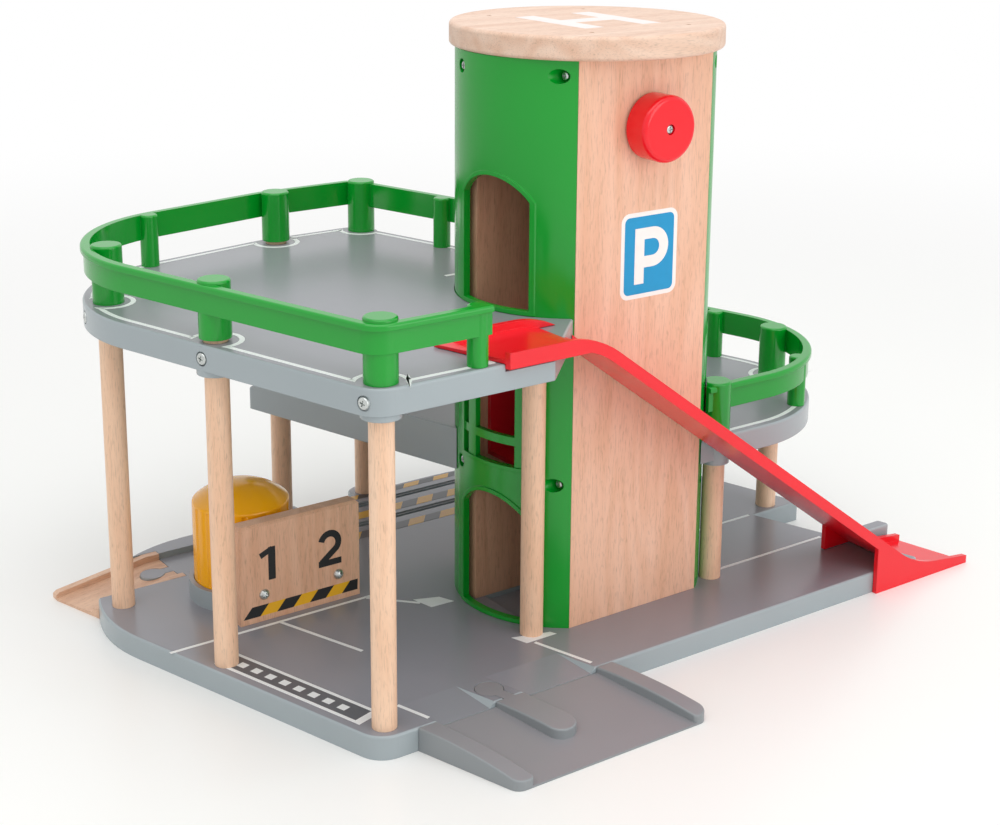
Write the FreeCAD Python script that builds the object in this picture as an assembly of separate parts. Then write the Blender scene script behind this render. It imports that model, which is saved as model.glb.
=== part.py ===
import FreeCAD, Part
import os
from math import acos, atan2, cos, degrees, hypot, pi, radians, sin, sqrt, tan
from FreeCAD import Vector

# Toy parking garage with a hand cranked lift, all sizes in millimetres.
# X runs along the flat wooden tower front, Y from the front towards the rail track, Z up.
# The origin is the tower axis on the surface that the garage stands on.

# Clearances
SLIP = 0.3          # faces of pieces that lift off or are set side by side
FIT = 0.05          # radial play of a dowel in its hole
RUN = 0.08          # radial play of a shaft, rod or pin that turns or slides

# Storeys
BASE_T = 12.0       # height of the base, the same as a wooden rail track
STOREY = 84.0       # floor to floor
MID_Z = BASE_T + STOREY
TOP_Z = BASE_T + 2 * STOREY
SKIN = 3.0          # top skin of the hollow base and decks
WALL = 3.0          # rim of the hollow base and decks
SKIRT = 13.0        # height of the rim of a deck
BOSS_DROP = 15.9    # a column boss reaches this far below the top of its deck
BOSS_R = 9.6

# Plan of the base and decks: slanted edges all lie at one angle to the tower
SLANT = radians(16.5)
LEFT_EDGE = 203.3   # distance of the slanted left edge from the tower axis
FRONT_EDGE = 91.0
BACK_EDGE = 175.0
RIGHT_EDGE = 176.5  # distance of the slanted right edge from the tower axis
LEFT_ROUND = 82.0
FRONT_ROUND = 14.0
BACK_ROUND = 150.0
RIGHT_FRONT_X = 177.5
STEP_X = 143.6
STEP_Y = 8.7
DECK_BACK = 187.0
DECK_BACK_SLOPE = radians(10.0)
DECK_BEND_X = -93.3
DECK_INNER_EDGE = 25.0
DECK_GATE_X = -87.0
MID_FRONT = 47.5
MID_ROUND = 76.0
MID_LEFT = 57.4
CURB_T = 3.0
CURB_H = 10.0       # wall on the left of the middle deck, above its floor

# Tower
PANEL_T = 12.0
PANEL_FACE = 49.2
TOWER_TOP = 309.0
COVER_C = 11.4      # centre of a cover's arc, towards its own side
COVER_R = 58.6
COVER_T = 3.0
PANEL_HALF_W = COVER_C + sqrt(COVER_R ** 2 - PANEL_FACE ** 2)
SHAFT_WALL_Y = 8.0
SHAFT_WALL_BACK = SHAFT_WALL_Y + PANEL_T
SHAFT_WALL_HALF_W = COVER_C + sqrt((COVER_R - COVER_T) ** 2 - SHAFT_WALL_BACK ** 2) - SLIP
ROOF_OVER = 1.1     # the roof stands out over the covers by this much
ROOF_R = COVER_C + COVER_R + ROOF_OVER
ROOF_T = 12.0
ROOF_EDGE = 2.0
DOOR_Y0 = -33.5
DOOR_Y1 = 9.5
DOOR_SILL = 2.5
DOOR_SPRING = 58.0
DOOR_CROWN = 69.5
WINDOW_CROWN = 67.0
DOOR_RIM = 2.2      # raised moulding round a door
DOOR_RIM_H = 0.8
WINDOW_Y0 = -37.4
WINDOW_Y1 = 9.0
MULLION_W = 6.5
WINDOW_SIDE_PANE = 4.0
TRANSOM_Z = 14.0    # bar of the window above its deck
TRANSOM_H = 4.6
BAR_SINK = 0.5      # the bars run into the cover by this much
COVER_SCREW_LOW = MID_Z - 5.0
COVER_SCREW_UNDER = MID_Z - 22.0    # where the middle deck wraps round a cover
COVER_SCREW_HIGH = TOWER_TOP - 8.0

# Columns: name, centre and the storey they end on
COLUMN_R = 6.0
SOCKET_DEPTH = 9.0
DOOR_COLUMN_Y = -PANEL_FACE + 7.3
DOOR_COLUMN_GAP = 1.4
DOOR_COLUMN_X = COVER_C + sqrt((COVER_R + COLUMN_R + DOOR_COLUMN_GAP) ** 2 - DOOR_COLUMN_Y ** 2)
CRANK_COLUMN_Y = -PANEL_FACE + 7.8
CRANK_COLUMN_GAP = 0.5
CRANK_COLUMN_X = COVER_C + sqrt((COVER_R + COLUMN_R + CRANK_COLUMN_GAP) ** 2 - CRANK_COLUMN_Y ** 2)
COLUMNS = {
    "left": (-221.8, 109.5),
    "west": (-207.3, 17.6),
    "front": (-175.9, -80.6),
    "rear_left": (-89.0, 176.0),
    "rear_middle": (-31.0, 176.0),
    "door": (-DOOR_COLUMN_X, DOOR_COLUMN_Y),
    "crank_side": (CRANK_COLUMN_X, CRANK_COLUMN_Y),
    "right": (161.2, 17.8),
}
TALL = ("left", "west", "front", "rear_left", "rear_middle")
LOBE_R = 10.5
NARROW_LOBE_R = 8.4   # lobe next to the slide

# Railings
POST_R = 8.0
THIN_POST_R = 5.0
POST_CAP = 4.0      # plastic over the end of a column
POST_RAISE = 1.8    # these posts end above the deck and show a ring of their column
RAISED = ("west", "rear_left")
RAIL_LOW = 15.0     # bottom of the rail band above the deck
RAIL_HIGH = 29.0
RAIL_INSET = 1.5
RAIL_T = 3.5
LIP_H = 3.0
LIP_OUT = 1.5
POST_PROUD = 1.5
POST_ROUND = 1.2
TOP_RAIL_END_X = -122.0
TOP_RAIL_END_Y = 56.0
TOP_RAIL_POST_Y = 114.0
MID_RAIL_END_X = 52.0
THIN_POST_IN = 6.0  # centre of a thin post inside the deck's edge

# Screws
SCREW_R = 1.6
SCREW_HEAD_R = 3.0
SMALL_HEAD_R = 2.3
SCREW_HEAD_H = 1.8
HEAD_ROUND = 0.9
HEAD_SINK = 0.7     # heads under the base lie this deep
CROSS_L = 3.0       # cross recess of a head
CROSS_W = 0.7
CROSS_DEPTH = 0.9
RECESS_R = 3.6
RECESS = 1.2
DECK_SCREW_DROP = 7.0
SCREW_REACH = 14.0  # how far the foot screws go into the panels
COVER_SCREW_REACH = 8.0
SEAT_OUT = 2.5      # least distance of a cover screw's seat from the panel's edge
NAIL_R = 1.3
NAIL_REACH = 20.0
NAIL_SINK = 1.0
PANEL_HOLD = 0.72   # place of the screws and nails across the width of a panel

# Number board and drum
BOARD_X0 = -183.2
BOARD_X1 = -111.2
BOARD_Y = 48.9
BOARD_T = 10.0
BOARD_H = 54.5
BOARD_BEVEL = 1.5
BRACKET_T = 3.2
BRACKET_H = 22.0
BOARD_SCREW_Z = 27.0
BOARD_SCREW_DOME = 2.4
BOARD_SCREW_IN = (14.1, 58.8)
DRUM_X = -161.0
DRUM_Y = 89.0
DRUM_R = 26.0
DRUM_BASE_Z = 14.0
DRUM_TOP = 76.0
DRUM_DOME = 10.0
DRUM_WALL = 2.5
DRUM_EDGE = 2.0
HUB_WALL = 2.5
DRUM_PIN_FOOT = 3.0
FLUTES = 16
FLUTE_R = 2.4
FLUTE_DEPTH = 0.7
COLLAR_R = 29.0
COLLAR_H = 10.5
DRUM_PIN_R = 5.0
DRUM_PIN_H = 24.0

# Lift
SHAFT_Y0 = -PANEL_FACE + PANEL_T
SHAFT_MID_Y = (SHAFT_Y0 + SHAFT_WALL_Y) / 2
CAR_GAP = 0.8
CAR_END_GAP = 14.0  # from the outermost line of a cover to the end of the car
CAR_HALF_L = COVER_C + COVER_R - CAR_END_GAP
CAR_H = 60.0
CAR_T = 2.5
CAR_FLOOR_RISE = 0.6
CRANK_X = 3.0
CRANK_Z = TOWER_TOP - 36.0
IDLER_Z = BASE_T + 13.0
SHAFT_R = 3.0
PULLEY_R = 8.0
PULLEY_FLANGE_R = 10.5
PULLEY_W = 6.0
BELT_T = 2.0
BELT_W = 3.6
BELT_Y = 29.0
BELT_PLAY = 0.2
ROD_R = 2.0
ROD_SPREAD = 27.0
ARM_HALF_W = 4.5
ARM_HALF_H = 8.0
ARM_ABOVE_FLOOR = 31.0
EYE_WALL = 2.5      # wall of the carriage's eyes round the rods
ROD_SEAT = 4.0      # how far the rods go into the base and the roof
JAW_HALF_W = 3.5
JAW_HALF_H = 5.0
CAR_SCREW_REACH = 10.0
SLOT_PLAY = 1.0
SLOT_END = 4.0
SHAFT_SEAT = 6.0    # how far the crank shaft goes into the rear panel
SHAFT_END = PANEL_FACE - PANEL_T + SHAFT_SEAT
PIN_SEAT = 7.0      # how far the idler's pin goes into the shaft wall and the rear panel
PIN_START = SHAFT_WALL_BACK - PIN_SEAT
PIN_END = PANEL_FACE - PANEL_T + PIN_SEAT
KNOB_R = 17.0
KNOB_H = 14.0
KNOB_EDGE = 3.0
KNOB_WEB = 4.0      # solid front of the knob
KNOB_SCREW_SINK = 2.4
KNOB_SCREW_REACH = 9.0
KNOB_GAP = 0.3
BUSH_R = 4.5
BUSH_FLANGE_R = 6.0
BUSH_FLANGE_T = 1.0

# Red slide
SLIDE_Y0 = -94.0
SLIDE_Y1 = -PANEL_FACE - 1.3
SLIDE_X0 = -128.0
SLIDE_X1 = 216.0
SLIDE_SIDE_T = 2.8
SLIDE_LIP = 3.7
SLIDE_FLOOR_T = 2.0
SLIDE_TOP = SLIDE_LIP + SLIDE_FLOOR_T + SLIP
CREST_X = -82.0
CREST_R = 52.0
SLIDE_FALL = radians(36.6)
FOOT_R = 62.0
FOOT_FALL = radians(7.0)
SLIDE_FOOT_Z = 6.2
NOTCH_X0 = -115.6   # step in the deck's rim that the slide hangs in
NOTCH_X1 = -80.0
NOTCH_H = 3.5
NOTCH_W = 2.8
HOOK_H = 2.0
WALL_END_X = -68.0  # the slide's near wall is deeper up to here
FAR_LIP_X = -116.0
FOOT_WALL_X = 140.0 # from here on the walls reach down to the base and the floor

# Front ramp
RAMP_X0 = -164.0
RAMP_X1 = -48.0
RAMP_L = 56.0
RAMP_CURB_W = 10.5
RAMP_ROAD_Z = 9.0
RAMP_FOOT_Z = 1.0
RAMP_CURB_MID_Z = 10.1
RAMP_CURB_FOOT_Z = 4.8
CURB_OUTER_ROUND = 6.0
CURB_INNER_ROUND = 2.6
CURB_EDGE = 0.9
ISLAND_X0 = -120.0
ISLAND_X1 = -103.5
ISLAND_L = 36.0
ISLAND_ROUND = 7.4
DIP_L = 23.0        # the base's road falls to the ramp over this length
DIP_CHEEK = 3.0
TONGUE_R = 7.0
TONGUE_NECK = 6.5
TONGUE_L = 12.0
TONGUE_FLOOR = 4.0

# Rail track across the base and its wooden ramp
TRACK_Y0 = 124.0
TRACK_W = 40.0
GROOVE_SPACING = 26.0
GROOVE_W = 6.5
GROOVE_DEPTH = 3.0
LANE_X = -178.0
LANE_DEPTH = 3.5
GROOVE_X0 = -150.0
TRACK_RAMP_L = 62.0
TRACK_TIP = 185.5   # distance of the slanted tip from the tower axis
TRACK_TIP_T = 4.0
TRACK_CURB_W = 4.6
TRACK_TONGUE_R = 6.8
TRACK_TONGUE_L = 11.5

# Guard finger beside the foot of the slide
FINGER_X = 201.5
FINGER_Y0 = -47.5
FINGER_W = 8.0

# Rounding and stiffening of the grey mouldings
EDGE_ROUND = 1.3
CORNER_ROUND = 2.0
RIB_X = 76.0
RIB_T = 4.0
BEYOND = 400.0      # a length that reaches past everything

MADE = {}


def save(name, shape):
    """Keep one sub-part under its node name."""
    MADE[name] = shape


def along_slant(x, y, rise):
    """The point reached from (x, y) by going up the slanted direction until Y has grown by rise."""
    return x - tan(SLANT) * rise, y + rise


def slant_x(distance, y, side):
    """X of a slanted edge at height y; side is -1 for a left edge and 1 for a right edge."""
    if side < 0:
        return -(distance + sin(SLANT) * y) / cos(SLANT)
    return (distance - sin(SLANT) * y) / cos(SLANT)


def outline(corners, inset=0.0):
    """A closed wire through corners (x, y, radius), given anticlockwise, moved inwards by inset."""
    count = len(corners)
    lines = []
    for i in range(count):
        x0, y0, _ = corners[i]
        x1, y1, _ = corners[(i + 1) % count]
        length = hypot(x1 - x0, y1 - y0)
        ux, uy = (x1 - x0) / length, (y1 - y0) / length
        lines.append((x0 - uy * inset, y0 + ux * inset, ux, uy))
    points = []
    for i in range(count):
        px, py, ux, uy = lines[i - 1]
        qx, qy, vx, vy = lines[i]
        cross = ux * vy - uy * vx
        t = ((qx - px) * vy - (qy - py) * vx) / cross
        radius = corners[i][2]
        if radius > 0:
            radius = radius - inset if cross > 0 else radius + inset
        points.append((px + ux * t, py + uy * t, max(radius, 0.0), (ux, uy), (vx, vy)))
    edges = []
    start = None
    first = None
    for x, y, radius, before, after in points:
        if radius < 0.01:
            arrive = leave = Vector(x, y, 0)
            arc = None
        else:
            turn = acos(max(-1.0, min(1.0, before[0] * after[0] + before[1] * after[1])))
            back = radius * tan(turn / 2)
            arrive = Vector(x - before[0] * back, y - before[1] * back, 0)
            leave = Vector(x + after[0] * back, y + after[1] * back, 0)
            bx, by = after[0] - before[0], after[1] - before[1]
            size = hypot(bx, by)
            reach = radius / cos(turn / 2) - radius
            middle = Vector(x + bx / size * reach, y + by / size * reach, 0)
            arc = Part.Arc(arrive, middle, leave).toShape()
        if start is None:
            first = arrive
        elif (arrive - start).Length > 1e-6:
            edges.append(Part.LineSegment(start, arrive).toShape())
        if arc is not None:
            edges.append(arc)
        start = leave
    if (first - start).Length > 1e-6:
        edges.append(Part.LineSegment(start, first).toShape())
    return Part.Wire(edges)


def prism(wire, z0, z1):
    """An upright solid on a flat wire, from z0 to z1."""
    solid = Part.Face(wire).extrude(Vector(0, 0, z1 - z0))
    solid.translate(Vector(0, 0, z0))
    return solid


def plate(corners, z0, z1, inset=0.0):
    """An upright solid on an outline of corners, from z0 to z1."""
    return prism(outline(corners, inset), z0, z1)


def box(x0, x1, y0, y1, z0, z1):
    """A box between two corners."""
    return Part.makeBox(x1 - x0, y1 - y0, z1 - z0, Vector(x0, y0, z0))


def post(x, y, radius, z0, z1):
    """An upright cylinder."""
    return Part.makeCylinder(radius, z1 - z0, Vector(x, y, z0))


def bar(radius, start, direction, length):
    """A cylinder from start along direction."""
    return Part.makeCylinder(radius, length, Vector(*start), Vector(*direction))


def screw(seat, out, reach, head_r=SCREW_HEAD_R, dome=0.0):
    """A screw with a cross recess: its head stands out from a seat and its shank runs back."""
    if dome > 0:
        ball_r = (head_r ** 2 + dome ** 2) / (2 * dome)
        head = Part.makeSphere(ball_r, Vector(0, 0, dome - ball_r))
        head = head.common(post(0, 0, head_r + 1, 0, dome + 1))
        top = dome
    else:
        head = post(0, 0, head_r, 0, SCREW_HEAD_H)
        head = head.makeFillet(HEAD_ROUND, edges_at(head, lambda p: near(p.z, SCREW_HEAD_H)))
        top = SCREW_HEAD_H
    half, slot = CROSS_L / 2, CROSS_W / 2
    cross = [box(-half, half, -slot, slot, top - CROSS_DEPTH, top + 1),
             box(-slot, slot, -half, half, top - CROSS_DEPTH, top + 1)]
    shape = fused([head, post(0, 0, SCREW_R, -reach, 0.2)]).cut(cross)
    turn = FreeCAD.Rotation(Vector(0, 0, 1), Vector(*out))
    shape.Placement = FreeCAD.Placement(Vector(*seat), turn)
    return shape


def fused(shapes):
    """One solid from touching ones, with its seams taken out."""
    shape = shapes[0].multiFuse(shapes[1:]) if len(shapes) > 1 else shapes[0]
    return shape.removeSplitter()


def side_profile(points, y0, y1):
    """A solid with a straight sided outline of (x, z) points, between y0 and y1."""
    loop = [Vector(x, y0, z) for x, z in points]
    face = Part.Face(Part.makePolygon(loop + loop[:1]))
    return face.extrude(Vector(0, y1 - y0, 0))


def edges_at(shape, test):
    """The edges of a shape whose every vertex passes a test."""
    return [edge for edge in shape.Edges if all(test(v.Point) for v in edge.Vertexes)]


def near(value, target):
    """Whether two lengths agree."""
    return abs(value - target) < 0.01


def rounded_plate(corners, z0, z1):
    """An upright solid on an outline, with its top edge rounded."""
    shape = plate(corners, z0, z1)
    return shape.makeFillet(EDGE_ROUND, edges_at(shape, lambda p: near(p.z, z1)))


# Plans of the base, the two decks and the tower
def base_corners():
    """The base: slanted left edge, straight front, stepped right edge with a guard finger."""
    front_left = (slant_x(LEFT_EDGE, -FRONT_EDGE, -1), -FRONT_EDGE, FRONT_ROUND)
    step_slope = (STEP_X - RIGHT_FRONT_X) / (STEP_Y + FRONT_EDGE)
    low = RIGHT_FRONT_X + step_slope * (FINGER_Y0 + FRONT_EDGE)
    high = RIGHT_FRONT_X + step_slope * (FINGER_Y0 + FINGER_W + FRONT_EDGE)
    finger_end = along_slant(FINGER_X, FINGER_Y0, FINGER_W)
    return [
        front_left,
        (RIGHT_FRONT_X, -FRONT_EDGE, CORNER_ROUND),
        (low, FINGER_Y0, 0),
        (FINGER_X, FINGER_Y0, CORNER_ROUND),
        (finger_end[0], finger_end[1], CORNER_ROUND),
        (high, FINGER_Y0 + FINGER_W, 0),
        (STEP_X, STEP_Y, 0),
        (slant_x(RIGHT_EDGE, STEP_Y, 1), STEP_Y, CORNER_ROUND),
        (slant_x(RIGHT_EDGE, BACK_EDGE, 1), BACK_EDGE, BACK_ROUND),
        (slant_x(LEFT_EDGE, BACK_EDGE, -1), BACK_EDGE, LEFT_ROUND),
    ]


def top_corners():
    """The upper deck: the base's left half, with a gate for the slide and a slanted inner edge."""
    rise = tan(DECK_BACK_SLOPE)
    back_at_zero = DECK_BACK - rise * DECK_BEND_X
    left_y = (back_at_zero - rise * LEFT_EDGE / cos(SLANT)) / (1 + rise * tan(SLANT))
    return [
        (slant_x(LEFT_EDGE, -FRONT_EDGE, -1), -FRONT_EDGE, FRONT_ROUND),
        (DECK_GATE_X, -FRONT_EDGE, CORNER_ROUND),
        (-PANEL_HALF_W, -PANEL_FACE + 1.0, 0),
        (slant_x(DECK_INNER_EDGE, PANEL_FACE - 1.0, 1), PANEL_FACE - 1.0, 0),
        (slant_x(DECK_INNER_EDGE, DECK_BACK, 1), DECK_BACK, 12.0),
        (DECK_BEND_X, DECK_BACK, 60.0),
        (slant_x(LEFT_EDGE, left_y, -1), left_y, LEFT_ROUND),
    ]


def mid_corners():
    """The middle deck: round at the right, along the back of the tower, square at the left."""
    return [
        (PANEL_HALF_W - 3.0, -MID_FRONT, 0),
        (slant_x(RIGHT_EDGE, -MID_FRONT, 1), -MID_FRONT, MID_ROUND),
        (slant_x(RIGHT_EDGE, BACK_EDGE, 1), BACK_EDGE, BACK_ROUND),
        (slant_x(MID_LEFT, BACK_EDGE, -1), BACK_EDGE, 3.0),
        (slant_x(MID_LEFT, 0, -1), 0, 0),
    ]


def cover_arc(side, grow):
    """The cylinder that one cover's outer face lies on, grown by a distance."""
    return post(side * COVER_C, 0, COVER_R + grow, 0, TOWER_TOP)


def tower_block(grow, z0, z1):
    """The whole tower as one block, grown by a distance all round."""
    reach = COVER_C + COVER_R + grow
    deep = PANEL_FACE + grow
    core = box(-PANEL_HALF_W, PANEL_HALF_W, -deep, deep, z0, z1)
    left = cover_arc(-1, grow).common(box(-reach, 0, -deep, deep, z0, z1))
    right = cover_arc(1, grow).common(box(0, reach, -deep, deep, z0, z1))
    return fused([core, left, right])


# Base: a hollow moulding with sockets, road dips, rail grooves and the drum's collar
def lane_strip(x0, x1, y0, y1, z0, z1, round0=0, round1=0):
    """A road strip that follows the slant; x is taken at the front edge, low corners can be round."""
    corners = []
    for x, y, radius in ((x0, y0, round0), (x1, y0, round1), (x1, y1, 0), (x0, y1, 0)):
        corners.append((*along_slant(x, -FRONT_EDGE, y + FRONT_EDGE), radius))
    return plate(corners, z0, z1)


def road_wedge(y0, z_low, y1, z_high, z_top):
    """A block over a road that falls from (y1, z_high) to (y0, z_low)."""
    points = [(y0, z_low), (y1, z_high), (y1, z_top), (y0, z_top)]
    loop = [Vector(-BEYOND, y, z) for y, z in points]
    face = Part.Face(Part.makePolygon(loop + loop[:1]))
    return face.extrude(Vector(2 * BEYOND, 0, 0))


def dip(x0, x1):
    """What a road takes out of the base in front of the ramp, with sloping cheeks."""
    rise = BASE_T - RAMP_ROAD_Z
    y0, y1 = -FRONT_EDGE - 1, -FRONT_EDGE + DIP_L
    points = [(x0 + DIP_CHEEK, RAMP_ROAD_Z), (x1 - DIP_CHEEK, RAMP_ROAD_Z),
              (x1 + DIP_CHEEK, BASE_T + rise), (x0 - DIP_CHEEK, BASE_T + rise)]
    loop = [Vector(x, y0, z) for x, z in points]
    strip = Part.Face(Part.makePolygon(loop + loop[:1])).extrude(Vector(-tan(SLANT) * (y1 - y0), y1 - y0, 0))
    return strip.common(road_wedge(y0, RAMP_ROAD_Z, y1, BASE_T, BASE_T + rise))


def tongue(grow, z0, z1):
    """The round headed tongue that joins the front ramp to the base."""
    middle = (ISLAND_X0 + ISLAND_X1) / 2
    head_x, head_y = along_slant(middle, -FRONT_EDGE, TONGUE_L)
    head = post(head_x, head_y, TONGUE_R + grow, z0, z1)
    half = TONGUE_NECK / 2 + grow
    neck = lane_strip(middle - half, middle + half, -FRONT_EDGE - SLIP - 1, head_y, z0, z1)
    return fused([head, neck])


def track_tongue(grow, z0, z1):
    """The tongue of the base that the wooden track ramp hooks over."""
    middle = TRACK_Y0 + TRACK_W / 2
    head = post(LANE_X - TRACK_TONGUE_L, middle, TRACK_TONGUE_R + grow, z0, z1)
    half = TONGUE_NECK / 2 + grow
    neck = box(LANE_X - TRACK_TONGUE_L, LANE_X + 1, middle - half, middle + half, z0, z1)
    return fused([head, neck])


def rail_grooves():
    """The two wheel grooves of the rail track."""
    middle = TRACK_Y0 + TRACK_W / 2
    cuts = []
    for side in (-1, 1):
        y = middle + side * GROOVE_SPACING / 2
        cuts.append(box(GROOVE_X0, RIGHT_EDGE + 30, y - GROOVE_W / 2, y + GROOVE_W / 2,
                        BASE_T - GROOVE_DEPTH, BASE_T + 1))
    low = middle - GROOVE_SPACING / 2 - GROOVE_W / 2
    high = middle + GROOVE_SPACING / 2 + GROOVE_W / 2
    cuts.append(box(LANE_X - 1, GROOVE_X0 + 0.01, low, high, BASE_T - LANE_DEPTH, BASE_T + 1))
    return cuts


def sockets():
    """Blind holes in the base for the feet of the columns."""
    return [post(x, y, COLUMN_R + FIT, BASE_T - SOCKET_DEPTH, BASE_T + 1)
            for x, y in COLUMNS.values()]


def lobes(names, z0, z1):
    """Round lobes of a plan that carry the columns at its very edge."""
    shapes = [post(*COLUMNS[name], LOBE_R, z0, z1) for name in names]
    return [shape.makeFillet(EDGE_ROUND, edges_at(shape, lambda p: near(p.z, z1))) for shape in shapes]


def tower_screw_places():
    """Where screws come up through the base into the three upright panels."""
    rows = (-PANEL_FACE + PANEL_T / 2, SHAFT_WALL_Y + PANEL_T / 2, PANEL_FACE - PANEL_T / 2)
    return [(side * PANEL_HALF_W * PANEL_HOLD, y) for y in rows for side in (-1, 1)]


def make_base():
    """The base board."""
    corners = base_corners()
    shape = fused([rounded_plate(corners, 0, BASE_T)] + lobes(("rear_left", "rear_middle"), 0, BASE_T))
    cavity = plate(corners, -1, BASE_T - SKIN, WALL)
    solid_parts = [
        box(-BEYOND, BEYOND, TRACK_Y0 - WALL, BEYOND, -2, BASE_T),
        box(RAMP_X0 - 20, RAMP_X1 + 20, -FRONT_EDGE, -FRONT_EDGE + DIP_L + 8, -2, BASE_T),
        tower_block(-1.0, -2, BASE_T),
        post(DRUM_X, DRUM_Y, DRUM_PIN_R + 4, -2, BASE_T),
        box(-BEYOND, BEYOND, STEP_Y - 2 * WALL, STEP_Y + WALL, -2, BASE_T),
        box(-RIB_X - RIB_T, -RIB_X, -FRONT_EDGE, TRACK_Y0, -2, BASE_T),
        box(RIB_X, RIB_X + RIB_T, -FRONT_EDGE, TRACK_Y0, -2, BASE_T),
    ]
    solid_parts += [post(x, y, BOSS_R, -2, BASE_T) for x, y in COLUMNS.values()]
    cavity = cavity.cut(solid_parts)
    shape = shape.cut(cavity)
    bracket = box(BOARD_X0 + 5, BOARD_X1 - 5, BOARD_Y + BOARD_T, BOARD_Y + BOARD_T + BRACKET_T,
                  BASE_T - 1, BASE_T + BRACKET_H)
    collar = post(DRUM_X, DRUM_Y, COLLAR_R, BASE_T - 1, BASE_T + COLLAR_H)
    collar = collar.cut(box(-BEYOND, BEYOND, -BEYOND, BOARD_Y + BOARD_T, 0, BASE_T + COLLAR_H + 1))
    shape = fused([shape, collar, bracket])
    cuts = [post(DRUM_X, DRUM_Y, DRUM_R + SLIP, DRUM_BASE_Z - SLIP, BASE_T + COLLAR_H + 30)
            .common(box(-BEYOND, BEYOND, BOARD_Y + BOARD_T + BRACKET_T, BEYOND, 0, BEYOND)),
            post(DRUM_X, DRUM_Y, DRUM_PIN_R + FIT, DRUM_PIN_FOOT, DRUM_BASE_Z)]
    low, high = TRACK_Y0 - SLIP, TRACK_Y0 + TRACK_W + SLIP
    cuts.append(box(-BEYOND, LANE_X, low, high, -1, BASE_T + 1))
    cuts += rail_grooves()
    cuts += sockets()
    cuts.append(box(-CAR_HALF_L - CAR_GAP, CAR_HALF_L + CAR_GAP, SHAFT_Y0, SHAFT_WALL_Y,
                    BASE_T - CAR_T + CAR_FLOOR_RISE - 2 * SLIP, BASE_T + 1))
    cuts += [dip(RAMP_X0 + RAMP_CURB_W, ISLAND_X0), dip(ISLAND_X1, RAMP_X1 - RAMP_CURB_W)]
    cuts.append(tongue(SLIP, TONGUE_FLOOR, BASE_T + 1))
    for x, y in tower_screw_places():
        cuts.append(post(x, y, SCREW_R + FIT, -1, BASE_T + 1))
        cuts.append(post(x, y, SCREW_HEAD_R + FIT, -1, SCREW_HEAD_H + HEAD_SINK))
    for place in BOARD_SCREW_IN:
        start = (BOARD_X0 + place, BOARD_Y + BOARD_T - 1, BOARD_SCREW_Z)
        cuts.append(bar(SCREW_R + FIT, start, (0, 1, 0), BRACKET_T + 2))
    shape = shape.cut(cuts)
    save("base_board", fused([shape, track_tongue(0, 0, BASE_T - LANE_DEPTH)]))


# Decks: hollow mouldings with bosses for the columns
def deck_cavity(corners, z_top, names, lobed):
    """What is hollowed out of a deck, leaving its skin, rim, tower rim and bosses."""
    cavity = plate(corners, z_top - BOSS_DROP - 1, z_top - SKIN, WALL)
    keep = [tower_block(SLIP + WALL, z_top - BOSS_DROP - 2, z_top)]
    keep += [post(*COLUMNS[name], BOSS_R, z_top - BOSS_DROP - 2, z_top) for name in names]
    keep += lobes(lobed, z_top - BOSS_DROP - 2, z_top)
    return cavity.cut(keep)


def deck_bosses(z_top, names):
    """Column bosses that reach below the rim of a deck."""
    return [post(*COLUMNS[name], BOSS_R, z_top - BOSS_DROP, z_top - 1) for name in names]


def left_bow():
    """Centre of the round left back corner of the base and of the upper deck."""
    y = BACK_EDGE - LEFT_ROUND
    return slant_x(LEFT_EDGE - LEFT_ROUND, y, -1), y


def deck_screw_list():
    """Column name, direction and storey height of each screw through a deck's rim."""
    out = (-cos(SLANT), -sin(SLANT))
    dx, dy = COLUMNS["left"][0] - left_bow()[0], COLUMNS["left"][1] - left_bow()[1]
    right = (cos(SLANT), sin(SLANT))
    return [
        ("left", (dx / hypot(dx, dy), dy / hypot(dx, dy)), TOP_Z),
        ("west", out, TOP_Z),
        ("front", out, TOP_Z),
        ("rear_left", (0, 1), TOP_Z),
        ("rear_middle", (0, 1), TOP_Z),
        ("right", right, MID_Z),
    ]


def rim_distance(name, direction, z_top):
    """How far a deck's outer face is from a column's axis along a direction."""
    x, y = COLUMNS[name]
    if name in ("rear_left", "rear_middle"):
        return DECK_BACK - y
    if name == "left":
        bow_x, bow_y = left_bow()
        return LEFT_ROUND - hypot(x - bow_x, y - bow_y)
    edge = LEFT_EDGE if z_top == TOP_Z else RIGHT_EDGE
    return edge - (direction[0] * x + direction[1] * y)


def deck_screw(name, direction, z_top):
    """A screw through a deck's rim into its column, and the hole and recess that it needs."""
    x, y = COLUMNS[name]
    z = z_top - DECK_SCREW_DROP
    reach = rim_distance(name, direction, z_top)
    ux, uy = direction
    seat = reach - RECESS
    tip = COLUMN_R - 4.0
    made = screw((x + ux * seat, y + uy * seat, z), (ux, uy, 0), seat - tip)
    hole = bar(SCREW_R + FIT, (x + ux * tip, y + uy * tip, z), (ux, uy, 0), seat - tip + 1)
    recess = bar(RECESS_R, (x + ux * seat, y + uy * seat, z), (ux, uy, 0), RECESS + 5)
    return made, hole, recess


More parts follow.
